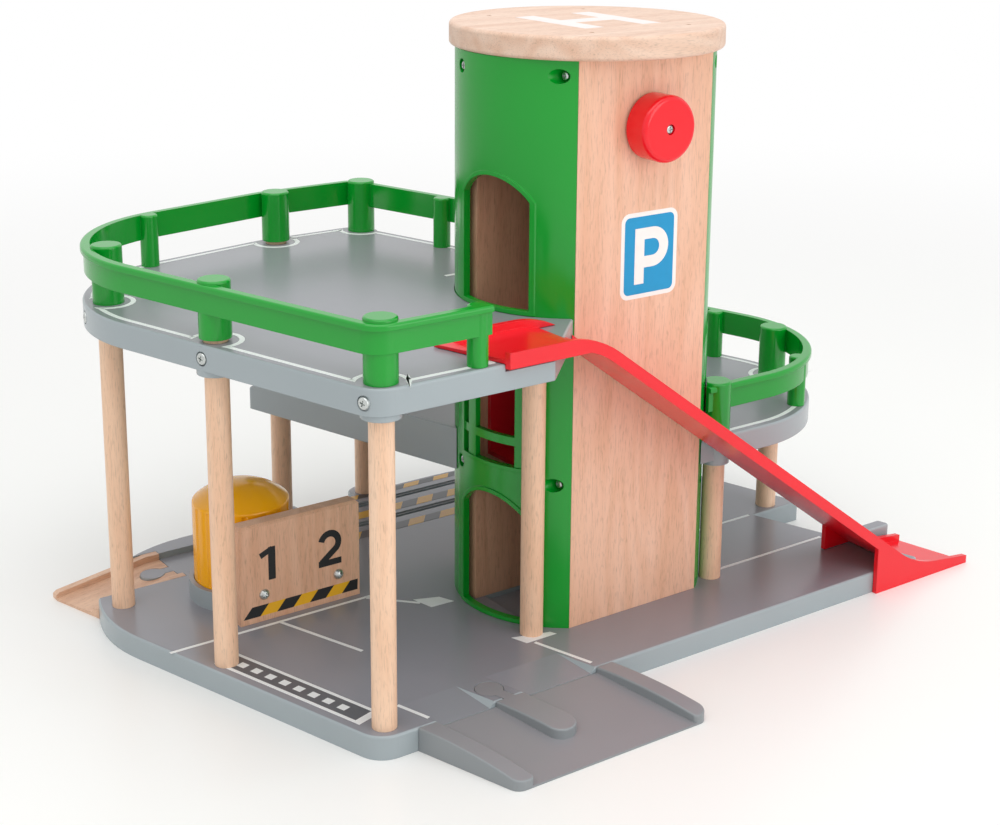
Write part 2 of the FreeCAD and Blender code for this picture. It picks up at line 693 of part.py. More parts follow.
def make_decks():
    """The upper and the middle deck with their rim screws."""
    screws = {TOP_Z: [], MID_Z: []}
    holes = {TOP_Z: [], MID_Z: []}
    for name, direction, z_top in deck_screw_list():
        made, hole, recess = deck_screw(name, direction, z_top)
        screws[z_top].append(made)
        holes[z_top].append(fused([hole, recess]))
    corners = top_corners()
    shape = rounded_plate(corners, TOP_Z - SKIRT, TOP_Z)
    shape = shape.cut(deck_cavity(corners, TOP_Z, TALL + ("door",), ()))
    shape = fused([shape] + deck_bosses(TOP_Z, TALL + ("door",)))
    cuts = [tower_block(SLIP, TOP_Z - 40, TOP_Z + 5)]
    cuts += [post(*COLUMNS[name], COLUMN_R + FIT, TOP_Z - 30, TOP_Z + 5) for name in TALL]
    cuts.append(post(*COLUMNS["door"], COLUMN_R + FIT, TOP_Z - 30, TOP_Z - SKIN))
    cuts.append(box(NOTCH_X0, NOTCH_X1, -BEYOND, -FRONT_EDGE + NOTCH_W, TOP_Z - NOTCH_H, TOP_Z + 5))
    shape = shape.cut(cuts + holes[TOP_Z])
    save("upper_deck", shape)
    save("upper_deck_screws", Part.makeCompound(screws[TOP_Z]))

    corners = mid_corners()
    names = ("rear_left", "rear_middle", "right")
    outer = lobes(("rear_left", "rear_middle"), MID_Z - SKIRT, MID_Z)
    lobe = post(*COLUMNS["crank_side"], NARROW_LOBE_R, MID_Z - BOSS_DROP, MID_Z)
    shape = rounded_plate(corners, MID_Z - SKIRT, MID_Z)
    shape = shape.cut(deck_cavity(corners, MID_Z, names, ("rear_left", "rear_middle")))
    shape = fused([shape, lobe] + outer)
    curb = plate(corners, MID_Z - 1, MID_Z + CURB_H).cut(
        plate(corners, MID_Z - 2, MID_Z + CURB_H + 1, CURB_T))
    end_y = BACK_EDGE - RAIL_INSET - RAIL_T - SLIP
    curb = curb.common(box(-200, 0, 0, end_y, MID_Z - 1, MID_Z + CURB_H))
    shape = fused([shape, curb] + deck_bosses(MID_Z, names))
    cuts = [tower_block(SLIP, MID_Z - 40, MID_Z + 40)]
    for name in ("rear_left", "rear_middle"):
        cuts.append(post(*COLUMNS[name], COLUMN_R + FIT, MID_Z - 30, MID_Z + 5))
    for name in ("right", "crank_side"):
        cuts.append(post(*COLUMNS[name], COLUMN_R + FIT, MID_Z - 30, MID_Z + 5))
    shape = shape.cut(cuts + holes[MID_Z])
    save("middle_deck", shape)
    save("middle_deck_screws", Part.makeCompound(screws[MID_Z]))


# Railings: one green moulding for each deck, with sockets over the columns
def rail_band(corners, z_deck):
    """The band of a railing with its rounded outward lip."""
    low, high = z_deck + RAIL_LOW, z_deck + RAIL_HIGH
    outer = plate(corners, low, high, RAIL_INSET)
    lip = plate(corners, high - LIP_H, high, RAIL_INSET - LIP_OUT)
    lip = lip.makeFillet(LIP_OUT * 0.9, edges_at(lip, lambda p: near(p.z, high)))
    inner = plate(corners, low - 1, high + 1, RAIL_INSET + RAIL_T)
    return fused([outer, lip]).cut(inner)


def rail_post(x, y, z_deck, radius, raised=0.0):
    """A round post of a railing with a softened top."""
    top = z_deck + RAIL_HIGH + (POST_PROUD if radius > THIN_POST_R else 0)
    shape = post(x, y, radius, z_deck + raised, top)
    return shape.makeFillet(POST_ROUND, edges_at(shape, lambda p: near(p.z, top)))


def slanted_inside(distance, y, side, inside):
    """A point inside a slanted edge at height y."""
    return slant_x(distance - inside, y, side), y


def make_railings():
    """The railings of the upper and the middle deck."""
    corners = top_corners()
    band = rail_band(corners, TOP_Z)
    band = band.cut(box(TOP_RAIL_END_X, 200, -200, TOP_RAIL_END_Y, TOP_Z, TOP_Z + 60))
    parts = [band]
    parts += [rail_post(*COLUMNS[name], TOP_Z, POST_R, POST_RAISE if name in RAISED else 0.0)
              for name in TALL]
    bow_x, bow_y = left_bow()
    bow = LEFT_ROUND - THIN_POST_IN
    parts.append(rail_post(bow_x + bow * cos(radians(104)), bow_y + bow * sin(radians(104)),
                           TOP_Z, THIN_POST_R))
    end = slanted_inside(DECK_INNER_EDGE, TOP_RAIL_POST_Y, 1, THIN_POST_IN)
    parts.append(rail_post(*end, TOP_Z, THIN_POST_R))
    parts.append(rail_post(TOP_RAIL_END_X - 5, -FRONT_EDGE + THIN_POST_IN, TOP_Z, THIN_POST_R))
    shape = fused(parts)
    cuts = [post(*COLUMNS[name], COLUMN_R + FIT, TOP_Z - 1, TOP_Z + RAIL_HIGH + POST_PROUD - POST_CAP)
            for name in TALL]
    cuts.append(tower_block(DOOR_RIM_H + SLIP, TOP_Z - 1, TOP_Z + 60))
    save("upper_railing", shape.cut(cuts))

    corners = mid_corners()
    band = rail_band(corners, MID_Z)
    band = band.cut([box(-300, MID_RAIL_END_X, -200, 160, MID_Z, MID_Z + 60)])
    parts = [band]
    parts += [rail_post(*COLUMNS[name], MID_Z, POST_R)
              for name in ("rear_left", "rear_middle", "right", "crank_side")]
    round_x = slant_x(RIGHT_EDGE - MID_ROUND, -MID_FRONT + MID_ROUND, 1)
    reach = MID_ROUND - THIN_POST_IN
    parts.append(rail_post(round_x + reach * cos(radians(-58)),
                           -MID_FRONT + MID_ROUND + reach * sin(radians(-58)), MID_Z, THIN_POST_R))
    parts.append(rail_post(*slanted_inside(RIGHT_EDGE, 66.0, 1, THIN_POST_IN), MID_Z, THIN_POST_R))
    far_x = slant_x(RIGHT_EDGE, BACK_EDGE, 1) - BACK_ROUND * tan((pi / 2 - SLANT) / 2)
    bend = BACK_ROUND - THIN_POST_IN
    parts.append(rail_post(far_x + bend * cos(radians(60)), BACK_EDGE - BACK_ROUND
                           + bend * sin(radians(60)), MID_Z, THIN_POST_R))
    shape = fused(parts)
    cuts = [post(*COLUMNS[name], COLUMN_R + FIT, MID_Z - 1, MID_Z + RAIL_HIGH + POST_PROUD + 5)
            for name in ("rear_left", "rear_middle")]
    cuts += [post(*COLUMNS[name], COLUMN_R + FIT, MID_Z - 1, MID_Z + RAIL_HIGH + POST_PROUD - POST_CAP)
             for name in ("right", "crank_side")]
    cuts.append(tower_block(DOOR_RIM_H + SLIP, MID_Z - 1, MID_Z + 60))
    save("middle_railing", shape.cut(cuts))


def make_columns():
    """The eight beech dowels."""
    for name, place in COLUMNS.items():
        if name in TALL:
            top = TOP_Z + RAIL_HIGH + POST_PROUD - POST_CAP
        elif name == "door":
            top = TOP_Z - SKIN
        else:
            top = MID_Z + RAIL_HIGH + POST_PROUD - POST_CAP
        shape = post(*place, COLUMN_R, BASE_T - SOCKET_DEPTH, top)
        for screw_name, direction, z_top in deck_screw_list():
            if screw_name == name:
                shape = shape.cut(deck_screw(name, direction, z_top)[1])
        save("column_" + name, shape)


# Tower: three upright panels, two curved covers and the round roof
def arch(y0, y1, z_deck, crown_h, grow, side):
    """A door shaped block through a cover, from its sill to its arched crown."""
    x0, x1 = 0, side * (COVER_C + COVER_R + 5)
    middle = (y0 + y1) / 2
    half = (y1 - y0) / 2 + grow
    spring = z_deck + DOOR_SPRING
    crown = z_deck + crown_h + grow
    sill = z_deck + DOOR_SILL - grow
    left = Vector(x0, middle - half, spring)
    right = Vector(x0, middle + half, spring)
    edges = [
        Part.LineSegment(Vector(x0, middle - half, sill), Vector(x0, middle + half, sill)).toShape(),
        Part.LineSegment(Vector(x0, middle + half, sill), right).toShape(),
        Part.Arc(right, Vector(x0, middle, crown), left).toShape(),
        Part.LineSegment(left, Vector(x0, middle - half, sill)).toShape(),
    ]
    return Part.Face(Part.Wire(edges)).extrude(Vector(x1 - x0, 0, 0))


def cover_shell(side):
    """A plain curved cover with solid ribs along both of its edges."""
    z0, z1 = BASE_T, TOWER_TOP
    edge = side * (PANEL_HALF_W + 0.1)
    far = side * (COVER_C + COVER_R + 5)
    span = box(min(edge, far), max(edge, far), -PANEL_FACE, PANEL_FACE, z0, z1)
    outer = cover_arc(side, 0).common(span)
    room = PANEL_FACE - PANEL_T + 1.2
    hollow = box(min(edge, far) - 5, max(edge, far) + 5, -room, room, z0 - 1, z1 + 1)
    inner = cover_arc(side, -COVER_T).common(hollow)
    return outer.cut(inner)


def door_rim(y0, y1, z_deck, crown_h, side):
    """The raised moulding round a door, standing on the curved face of its cover."""
    ring = arch(y0, y1, z_deck, crown_h, DOOR_RIM, side)
    skin = cover_arc(side, DOOR_RIM_H).cut(cover_arc(side, -1.0))
    return skin.common(ring)


def cover_screws(side):
    """Screws that hold a cover to the edges of the front panel and of the shaft wall."""
    screws = []
    cuts = []
    rows = ((-PANEL_FACE + PANEL_T / 2, PANEL_HALF_W),
            (SHAFT_WALL_Y + PANEL_T / 2, SHAFT_WALL_HALF_W),
            (PANEL_FACE - PANEL_T / 2, PANEL_HALF_W))
    for y, edge in rows:
        face = COVER_C + sqrt(COVER_R ** 2 - (abs(y) + SCREW_HEAD_R) ** 2)
        seat = max(face - SCREW_HEAD_H - SLIP, edge + SEAT_OUT)
        tip = edge - COVER_SCREW_REACH
        hidden = side > 0 or y > PANEL_HALF_W / 2
        for z in (COVER_SCREW_UNDER if hidden else COVER_SCREW_LOW, COVER_SCREW_HIGH):
            screws.append(screw((side * seat, y, z), (side, 0, 0), seat - tip, SMALL_HEAD_R))
            cuts.append(bar(SCREW_R + FIT, (side * tip, y, z), (side, 0, 0), COVER_R))
            cuts.append(bar(RECESS_R, (side * seat, y, z), (side, 0, 0), COVER_R))
    return screws, cuts


def make_tower():
    """The upright panels, the covers with their doors, and their screws."""
    front = box(-PANEL_HALF_W, PANEL_HALF_W, -PANEL_FACE, SHAFT_Y0, BASE_T, TOWER_TOP)
    wall = box(-SHAFT_WALL_HALF_W, SHAFT_WALL_HALF_W, SHAFT_WALL_Y, SHAFT_WALL_BACK, BASE_T, TOWER_TOP)
    rear = box(-PANEL_HALF_W, PANEL_HALF_W, PANEL_FACE - PANEL_T, PANEL_FACE, BASE_T, TOWER_TOP)
    crank = bar(BUSH_R + FIT, (CRANK_X, -BEYOND, CRANK_Z), (0, 1, 0), 2 * BEYOND)
    half = ARM_HALF_W + SLOT_PLAY
    arm_low = BASE_T + CAR_FLOOR_RISE + ARM_ABOVE_FLOOR - ARM_HALF_H
    arm_high = TOP_Z + CAR_FLOOR_RISE + ARM_ABOVE_FLOOR + ARM_HALF_H
    slot = box(CRANK_X - half, CRANK_X + half, 0, SHAFT_WALL_BACK + 1,
               arm_low - SLOT_END, arm_high + SLOT_END)
    rear_bore = bar(SHAFT_R + RUN, (CRANK_X, SHAFT_END - SHAFT_SEAT - 1, CRANK_Z), (0, 1, 0), SHAFT_SEAT + 2)
    pin_bore = bar(SHAFT_R + FIT, (CRANK_X, PIN_START - 1, IDLER_Z), (0, 1, 0), PIN_END + 2 - PIN_START)
    cuts = []
    for side, name in ((-1, "left_cover"), (1, "right_cover")):
        screws, holes = cover_screws(side)
        cuts += holes
        shape = cover_shell(side)
        if side < 0:
            doors = ((DOOR_Y0, DOOR_Y1, BASE_T, DOOR_CROWN), (WINDOW_Y0, WINDOW_Y1, MID_Z, WINDOW_CROWN),
                     (DOOR_Y0, DOOR_Y1, TOP_Z, DOOR_CROWN))
        else:
            doors = ((DOOR_Y0, DOOR_Y1, MID_Z, DOOR_CROWN),)
        shape = fused([shape] + [door_rim(*door, side) for door in doors])
        shape = shape.common(box(-BEYOND, BEYOND, -PANEL_FACE, PANEL_FACE, BASE_T, TOWER_TOP))
        shape = shape.cut([arch(*door, 0, side) for door in doors] + holes)
        if side < 0:
            shape = fused([shape] + window_bars(side))
        save(name, shape)
        save(name + "_screws", Part.makeCompound(screws))
    foot_screws = []
    seat = HEAD_SINK + SCREW_HEAD_H
    for x, y in tower_screw_places():
        foot_screws.append(screw((x, y, seat), (0, 0, -1), BASE_T + SCREW_REACH - seat))
        cuts.append(post(x, y, SCREW_R + FIT, 0, BASE_T + SCREW_REACH))
    save("tower_foot_screws", Part.makeCompound(foot_screws))
    nails = []
    roof_cuts = []
    for x, y in roof_nail_places():
        nails.append(post(x, y, NAIL_R, TOWER_TOP - NAIL_REACH, TOWER_TOP + ROOF_T - NAIL_SINK))
        cuts.append(post(x, y, NAIL_R + FIT, TOWER_TOP - NAIL_REACH, TOWER_TOP + 1))
        roof_cuts.append(post(x, y, NAIL_R + FIT, TOWER_TOP - 1, TOWER_TOP + ROOF_T + 1))
    save("roof_nails", Part.makeCompound(nails))
    save("tower_front_panel", front.cut(cuts + [crank]))
    save("shaft_wall", wall.cut(cuts + [crank, slot, pin_bore]))
    save("tower_rear_panel", rear.cut(cuts + [rear_bore, pin_bore]))
    roof = post(0, 0, ROOF_R, TOWER_TOP, TOWER_TOP + ROOF_T)
    rims = [edge for edge in roof.Edges if edge.Closed and edge.BoundBox.ZLength < 0.1]
    save("roof_disc", roof.makeFillet(ROOF_EDGE, rims).cut(roof_cuts))


def roof_nail_places():
    """Where the roof is nailed down to the front and the rear panel."""
    row = PANEL_FACE - PANEL_T / 2
    return [(side * PANEL_HALF_W * PANEL_HOLD, y) for side in (-1, 1) for y in (-row, row)]


def window_bars(side):
    """The two uprights and the crossbar of the window at the middle floor."""
    shell = cover_arc(side, 0).cut(cover_arc(side, -COVER_T))
    z0, z1 = MID_Z, MID_Z + WINDOW_CROWN
    left = WINDOW_Y1 - WINDOW_SIDE_PANE
    right = WINDOW_Y0 + WINDOW_SIDE_PANE
    opening = arch(WINDOW_Y0, WINDOW_Y1, MID_Z, WINDOW_CROWN, BAR_SINK, side)
    bars = [
        box(-BEYOND, 0, left - MULLION_W, left, z0, z1),
        box(-BEYOND, 0, right, right + MULLION_W, z0, z1),
        box(-BEYOND, 0, WINDOW_Y0 - 1, WINDOW_Y1 + 1, MID_Z + TRANSOM_Z, MID_Z + TRANSOM_Z + TRANSOM_H),
    ]
    return [shell.common(item).common(opening) for item in bars]


# Lift: the car, its carriage on two rods, the belt and the crank
def make_lift():
    """Everything that carries and moves the lift car."""
    floor = MID_Z + CAR_FLOOR_RISE
    y0, y1 = SHAFT_Y0 + CAR_GAP, SHAFT_WALL_Y - CAR_GAP
    car = box(-CAR_HALF_L, CAR_HALF_L, y0, y1, floor - CAR_T, floor + CAR_H)
    car = car.cut(box(-CAR_HALF_L - 1, CAR_HALF_L + 1, y0 + CAR_T, y1 - CAR_T,
                      floor, floor + CAR_H - CAR_T))
    corner = box(-BEYOND, BEYOND, -BEYOND, BEYOND, 0, BEYOND).cut(tower_block(-COVER_T - CAR_GAP, 0, BEYOND))
    car = car.cut(corner)
    arm_z = floor + ARM_ABOVE_FLOOR
    screw_rows = [arm_z - ARM_HALF_H / 2, arm_z + ARM_HALF_H / 2]
    screw_holes = [bar(SCREW_R + FIT, (CRANK_X, y1 - CAR_T - 1, z), (0, 1, 0), CAR_SCREW_REACH + 2)
                   for z in screw_rows]
    save("lift_car", car.cut(screw_holes))
    plate_y0 = SHAFT_WALL_BACK + CAR_GAP
    plate_y1 = BELT_Y - PULLEY_W / 2 - CAR_GAP
    arm = box(CRANK_X - ARM_HALF_W, CRANK_X + ARM_HALF_W, y1, plate_y1,
              arm_z - ARM_HALF_H, arm_z + ARM_HALF_H)
    rod_y = BELT_Y
    back = box(CRANK_X - ROD_SPREAD, CRANK_X + ROD_SPREAD, plate_y0, plate_y1,
               arm_z - ARM_HALF_H, arm_z + ARM_HALF_H)
    eyes = []
    bores = []
    for side in (-1, 1):
        x = CRANK_X + side * ROD_SPREAD
        eyes.append(post(x, rod_y, ROD_R + EYE_WALL, arm_z - ARM_HALF_H, arm_z + ARM_HALF_H))
        eyes.append(box(x - EYE_WALL, x + EYE_WALL, plate_y0, rod_y, arm_z - ARM_HALF_H, arm_z + ARM_HALF_H))
        bores.append(post(x, rod_y, ROD_R + RUN, 0, BEYOND))
    strand_x = CRANK_X - PULLEY_R - BELT_T / 2
    grip = BELT_T / 2 + SLIP
    jaw = box(strand_x - JAW_HALF_W, strand_x + JAW_HALF_W, plate_y1 - 0.5, BELT_Y + BELT_W / 2 + 2,
              arm_z - JAW_HALF_H, arm_z + JAW_HALF_H)
    jaw_slot = box(strand_x - grip, strand_x + grip, BELT_Y - BELT_W / 2 - SLIP, BELT_Y + BELT_W / 2 + SLIP,
                   0, BEYOND)
    carriage = fused([arm, back] + eyes + [jaw]).cut(bores + [jaw_slot] + screw_holes)
    save("lift_carriage", carriage)
    screws = [screw((CRANK_X, y1 - CAR_T, z), (0, -1, 0), CAR_SCREW_REACH) for z in screw_rows]
    save("carriage_screws", Part.makeCompound(screws))
    low, high = BASE_T - ROD_SEAT, TOWER_TOP + ROD_SEAT
    rods = [post(CRANK_X + side * ROD_SPREAD, rod_y, ROD_R, low, high) for side in (-1, 1)]
    save("guide_rods", Part.makeCompound(rods))
    bearing = [post(CRANK_X + side * ROD_SPREAD, rod_y, ROD_R + FIT, low, high) for side in (-1, 1)]
    MADE["base_board"] = MADE["base_board"].cut(bearing)
    MADE["roof_disc"] = MADE["roof_disc"].cut(bearing)
    make_belt()
    make_crank()


def belt_ring(grow, width):
    """A loop round both pulleys, its inner face grown outwards."""
    radius = PULLEY_R + grow
    y0 = BELT_Y - width / 2
    top = bar(radius, (CRANK_X, y0, CRANK_Z), (0, 1, 0), width)
    low = bar(radius, (CRANK_X, y0, IDLER_Z), (0, 1, 0), width)
    span = box(CRANK_X - radius, CRANK_X + radius, y0, y0 + width, IDLER_Z, CRANK_Z)
    return fused([top, low, span])


def make_belt():
    """The belt and its idler pulley on a fixed pin."""
    belt = belt_ring(BELT_T, BELT_W).cut(belt_ring(SLIP, BELT_W + 2))
    save("lift_belt", belt)
    save("idler_pulley", pulley(IDLER_Z, SHAFT_R + RUN))
    save("idler_pin", bar(SHAFT_R, (CRANK_X, PIN_START, IDLER_Z), (0, 1, 0), PIN_END - PIN_START))


def pulley(z, bore):
    """A flanged pulley on a shaft along Y."""
    wheel = bar(PULLEY_R, (CRANK_X, BELT_Y - PULLEY_W / 2, z), (0, 1, 0), PULLEY_W)
    groove = (PULLEY_W - BELT_W) / 2 - BELT_PLAY
    flanges = [bar(PULLEY_FLANGE_R, (CRANK_X, y, z), (0, 1, 0), groove)
               for y in (BELT_Y - PULLEY_W / 2, BELT_Y + PULLEY_W / 2 - groove)]
    hole = bar(bore, (CRANK_X, BELT_Y - PULLEY_W, z), (0, 1, 0), 2 * PULLEY_W)
    return fused([wheel] + flanges).cut(hole)


def make_crank():
    """The knob on its shaft with its bushes and drive pulley."""
    knob_y = -PANEL_FACE - KNOB_GAP - BUSH_FLANGE_T
    knob = bar(KNOB_R, (CRANK_X, knob_y, CRANK_Z), (0, -1, 0), KNOB_H)
    rims = [edge for edge in knob.Edges if edge.Closed and near(edge.BoundBox.YMin, knob_y - KNOB_H)
            and near(edge.BoundBox.YMax, knob_y - KNOB_H)]
    knob = knob.makeFillet(KNOB_EDGE, rims)
    shaft_start = knob_y - KNOB_H + KNOB_WEB
    seat_y = knob_y - KNOB_H + KNOB_SCREW_SINK
    socket = bar(SHAFT_R + FIT, (CRANK_X, shaft_start, CRANK_Z), (0, 1, 0), KNOB_H)
    screw_hole = bar(SCREW_R + FIT, (CRANK_X, knob_y, CRANK_Z), (0, -1, 0), KNOB_H + 1)
    screw_seat = bar(SMALL_HEAD_R + SLIP, (CRANK_X, seat_y, CRANK_Z), (0, -1, 0), KNOB_H)
    save("knob", knob.cut([socket, screw_hole, screw_seat]))
    shaft = bar(SHAFT_R, (CRANK_X, shaft_start, CRANK_Z), (0, 1, 0), SHAFT_END - shaft_start)
    thread = bar(SCREW_R + FIT, (CRANK_X, shaft_start - 1, CRANK_Z), (0, 1, 0), KNOB_SCREW_REACH)
    save("knob_shaft", shaft.cut(thread))
    save("knob_screw", screw((CRANK_X, seat_y, CRANK_Z), (0, -1, 0), KNOB_SCREW_REACH, SMALL_HEAD_R))
    save("drive_pulley", pulley(CRANK_Z, SHAFT_R + FIT))
    bushes = []
    for y, flange in ((-PANEL_FACE, -1), (SHAFT_WALL_BACK, 1)):
        sleeve = bar(BUSH_R, (CRANK_X, y, CRANK_Z), (0, -flange, 0), PANEL_T)
        rim = bar(BUSH_FLANGE_R, (CRANK_X, y, CRANK_Z), (0, flange, 0), BUSH_FLANGE_T)
        hole = bar(SHAFT_R + RUN, (CRANK_X, -BEYOND, CRANK_Z), (0, 1, 0), 2 * BEYOND)
        bushes.append(fused([sleeve, rim]).cut(hole))
    save("shaft_bushes", Part.makeCompound(bushes))


# Number board, its screws and the yellow drum behind it
def make_board():
    """The board with its two screws."""
    shape = box(BOARD_X0, BOARD_X1, BOARD_Y, BOARD_Y + BOARD_T, BASE_T, BASE_T + BOARD_H)
    top = BASE_T + BOARD_H
    shape = shape.makeChamfer(BOARD_BEVEL, edges_at(shape, lambda p: near(p.z, top)))
    screws = []
    for place in BOARD_SCREW_IN:
        x = BOARD_X0 + place
        shape = shape.cut(bar(SCREW_R + FIT, (x, BOARD_Y - 1, BOARD_SCREW_Z), (0, 1, 0), BOARD_T + 2))
        seat = (x, BOARD_Y, BOARD_SCREW_Z)
        screws.append(screw(seat, (0, -1, 0), BOARD_T + BRACKET_T, SCREW_HEAD_R, BOARD_SCREW_DOME))
    save("number_board", shape)
    save("board_screws", Part.makeCompound(screws))


def make_drum():
    """The fluted drum with its dome, and the dowel that it is glued to."""
    shoulder = DRUM_TOP - DRUM_DOME
    ball_r = (DRUM_R ** 2 + DRUM_DOME ** 2) / (2 * DRUM_DOME)
    drum = post(DRUM_X, DRUM_Y, DRUM_R, DRUM_BASE_Z, DRUM_TOP)
    drum = drum.common(Part.makeSphere(ball_r, Vector(DRUM_X, DRUM_Y, DRUM_TOP - ball_r)).fuse(
        post(DRUM_X, DRUM_Y, DRUM_R + 1, 0, shoulder)))
    rim = [edge for edge in drum.Edges if edge.Closed and near(edge.BoundBox.ZMin, shoulder)]
    drum = drum.makeFillet(DRUM_EDGE, rim)
    hollow = post(DRUM_X, DRUM_Y, DRUM_R - DRUM_WALL, DRUM_BASE_Z - 1, shoulder - DRUM_WALL)
    hub = post(DRUM_X, DRUM_Y, DRUM_PIN_R + HUB_WALL, DRUM_BASE_Z, shoulder)
    bore = post(DRUM_X, DRUM_Y, DRUM_PIN_R + FIT, DRUM_BASE_Z - 1, BASE_T + DRUM_PIN_H + SLIP)
    shape = fused([drum.cut(hollow), hub]).cut(bore)
    reach = DRUM_R + FLUTE_R - FLUTE_DEPTH
    flutes = []
    for i in range(FLUTES):
        turn = 2 * pi * i / FLUTES
        flutes.append(post(DRUM_X + reach * cos(turn), DRUM_Y + reach * sin(turn), FLUTE_R,
                           BASE_T + COLLAR_H + 1, shoulder - 1))
    save("drum", shape.cut(flutes))
    save("drum_pin", post(DRUM_X, DRUM_Y, DRUM_PIN_R, DRUM_PIN_FOOT, BASE_T + DRUM_PIN_H))


# Red slide: a channel that leaves the upper deck, falls beside the tower and runs out on the floor
def slide_line(drop):
    """The slide's side view, as points (x, z) at a distance below its lip, from top to foot."""
    lip = TOP_Z + SLIDE_TOP
    crest_c = (CREST_X, lip - CREST_R)
    points = [(SLIDE_X0 - 20, lip - drop), (CREST_X, lip - drop)]
    steps = 7
    for i in range(1, steps + 1):
        turn = SLIDE_FALL * i / steps
        r = CREST_R - drop
        points.append((crest_c[0] + r * sin(turn), crest_c[1] + r * cos(turn)))
    top = (crest_c[0] + CREST_R * sin(SLIDE_FALL), crest_c[1] + CREST_R * cos(SLIDE_FALL))
    out_dx = FOOT_R * (sin(SLIDE_FALL) - sin(FOOT_FALL))
    out_dz = FOOT_R * (cos(FOOT_FALL) - cos(SLIDE_FALL))
    end_run = 14.0
    end_z = SLIDE_FOOT_Z + end_run * tan(FOOT_FALL)
    fall = (top[1] - end_z - out_dz) / tan(SLIDE_FALL)
    foot_start = (top[0] + fall, top[1] - fall * tan(SLIDE_FALL))
    foot_c = (foot_start[0] + FOOT_R * sin(SLIDE_FALL), foot_start[1] + FOOT_R * cos(SLIDE_FALL))
    for i in range(steps + 1):
        turn = SLIDE_FALL + (FOOT_FALL - SLIDE_FALL) * i / steps
        r = FOOT_R + drop
        points.append((foot_c[0] - r * sin(turn), foot_c[1] - r * cos(turn)))
    last = points[-1]
    points.append((SLIDE_X1 + 20, last[1] - (SLIDE_X1 + 20 - last[0]) * tan(FOOT_FALL)))
    return points


def make_slide():
    """The slide."""
    lip = slide_line(0)
    road = slide_line(SLIDE_LIP)
    under = slide_line(SLIDE_LIP + SLIDE_FLOOR_T)
    near_wall = (SLIDE_Y0, SLIDE_Y0 + SLIDE_SIDE_T)
    far_wall = (SLIDE_Y1 - SLIDE_SIDE_T, SLIDE_Y1)
    parts = [side_profile(road + under[::-1], SLIDE_Y0, SLIDE_Y1)]
    for wall in (near_wall, far_wall):
        parts.append(side_profile(lip + under[::-1], *wall))
        foot = side_profile(lip + [(SLIDE_X1 + 20, 0), (SLIDE_X0 - 20, 0)], *wall)
        parts.append(foot.common(box(FOOT_WALL_X, BEYOND, *wall, 0, TOP_Z)))
    parts.append(box(SLIDE_X0, WALL_END_X, *near_wall, TOP_Z - HOOK_H, TOP_Z + SLIP + 1))
    shape = fused(parts)
    shape = shape.cut(plate(top_corners(), 0, TOP_Z + SLIP, -SLIP))
    hook = box(NOTCH_X0 + SLIP, DECK_GATE_X - CORNER_ROUND, SLIDE_Y0, -FRONT_EDGE + NOTCH_W - SLIP,
               TOP_Z - HOOK_H, TOP_Z + SLIP + 1)
    shape = fused([shape, hook])
    lead = [(SLIDE_X0 - 20, TOP_Z), (FAR_LIP_X - SLIDE_LIP, TOP_Z + SLIP + SLIDE_FLOOR_T),
            (FAR_LIP_X, TOP_Z + SLIDE_TOP), (FAR_LIP_X, TOP_Z + 2 * SLIDE_TOP),
            (SLIDE_X0 - 20, TOP_Z + 2 * SLIDE_TOP)]
    shape = shape.cut(side_profile(lead, SLIDE_Y0 + SLIDE_SIDE_T, SLIDE_Y1 + 1))
    ground = box(-BEYOND, BEYOND, -BEYOND, BEYOND, -BEYOND, 0.0)
    base_space = plate(base_corners(), -1, BASE_T + SLIP, -SLIP)
    shape = shape.cut([ground, base_space])
    save("slide", shape.common(lane_ends()))


def lane_ends():
    """A block with slanted ends that trims the slide to its length."""
    far_end = SLIDE_X1 - tan(SLANT) * (SLIDE_Y1 - SLIDE_Y0)
    corners = []
    for x, y in ((SLIDE_X0, SLIDE_Y0 - 5), (far_end, SLIDE_Y0 - 5), (far_end, SLIDE_Y1 + 5), (SLIDE_X0, SLIDE_Y1 + 5)):
        corners.append((*along_slant(x, SLIDE_Y1, y - SLIDE_Y1), 0))
    return plate(corners, -1, TOP_Z + BEYOND)


# Grey front ramp and the wooden ramp to the rail track
def ramp_top():
    """What lies above the curbs and the island of the front ramp, under one falling arc."""
    y_back = -FRONT_EDGE - SLIP
    y_foot = y_back - RAMP_L
    start, end = Vector(-BEYOND, y_back, BASE_T), Vector(-BEYOND, y_foot, RAMP_CURB_FOOT_Z)
    middle = Vector(-BEYOND, (y_back + y_foot) / 2, RAMP_CURB_MID_Z)
    high_end, high_start = Vector(-BEYOND, y_foot, 2 * BASE_T), Vector(-BEYOND, y_back, 2 * BASE_T)
    edges = [Part.Arc(start, middle, end).toShape()]
    for first, last in ((end, high_end), (high_end, high_start), (high_start, start)):
        edges.append(Part.LineSegment(first, last).toShape())
    return Part.Face(Part.Wire(edges)).extrude(Vector(2 * BEYOND, 0, 0))


def softened_top(shape):
    """A curb or the island of the front ramp with the smooth rim of its curved top rounded."""
    top = max((face for face in shape.Faces if face.normalAt(0, 0).z > 0.5), key=lambda face: face.Area)
    longest = max(top.Edges, key=lambda edge: edge.Length)
    return shape.makeFillet(CURB_EDGE, [longest])


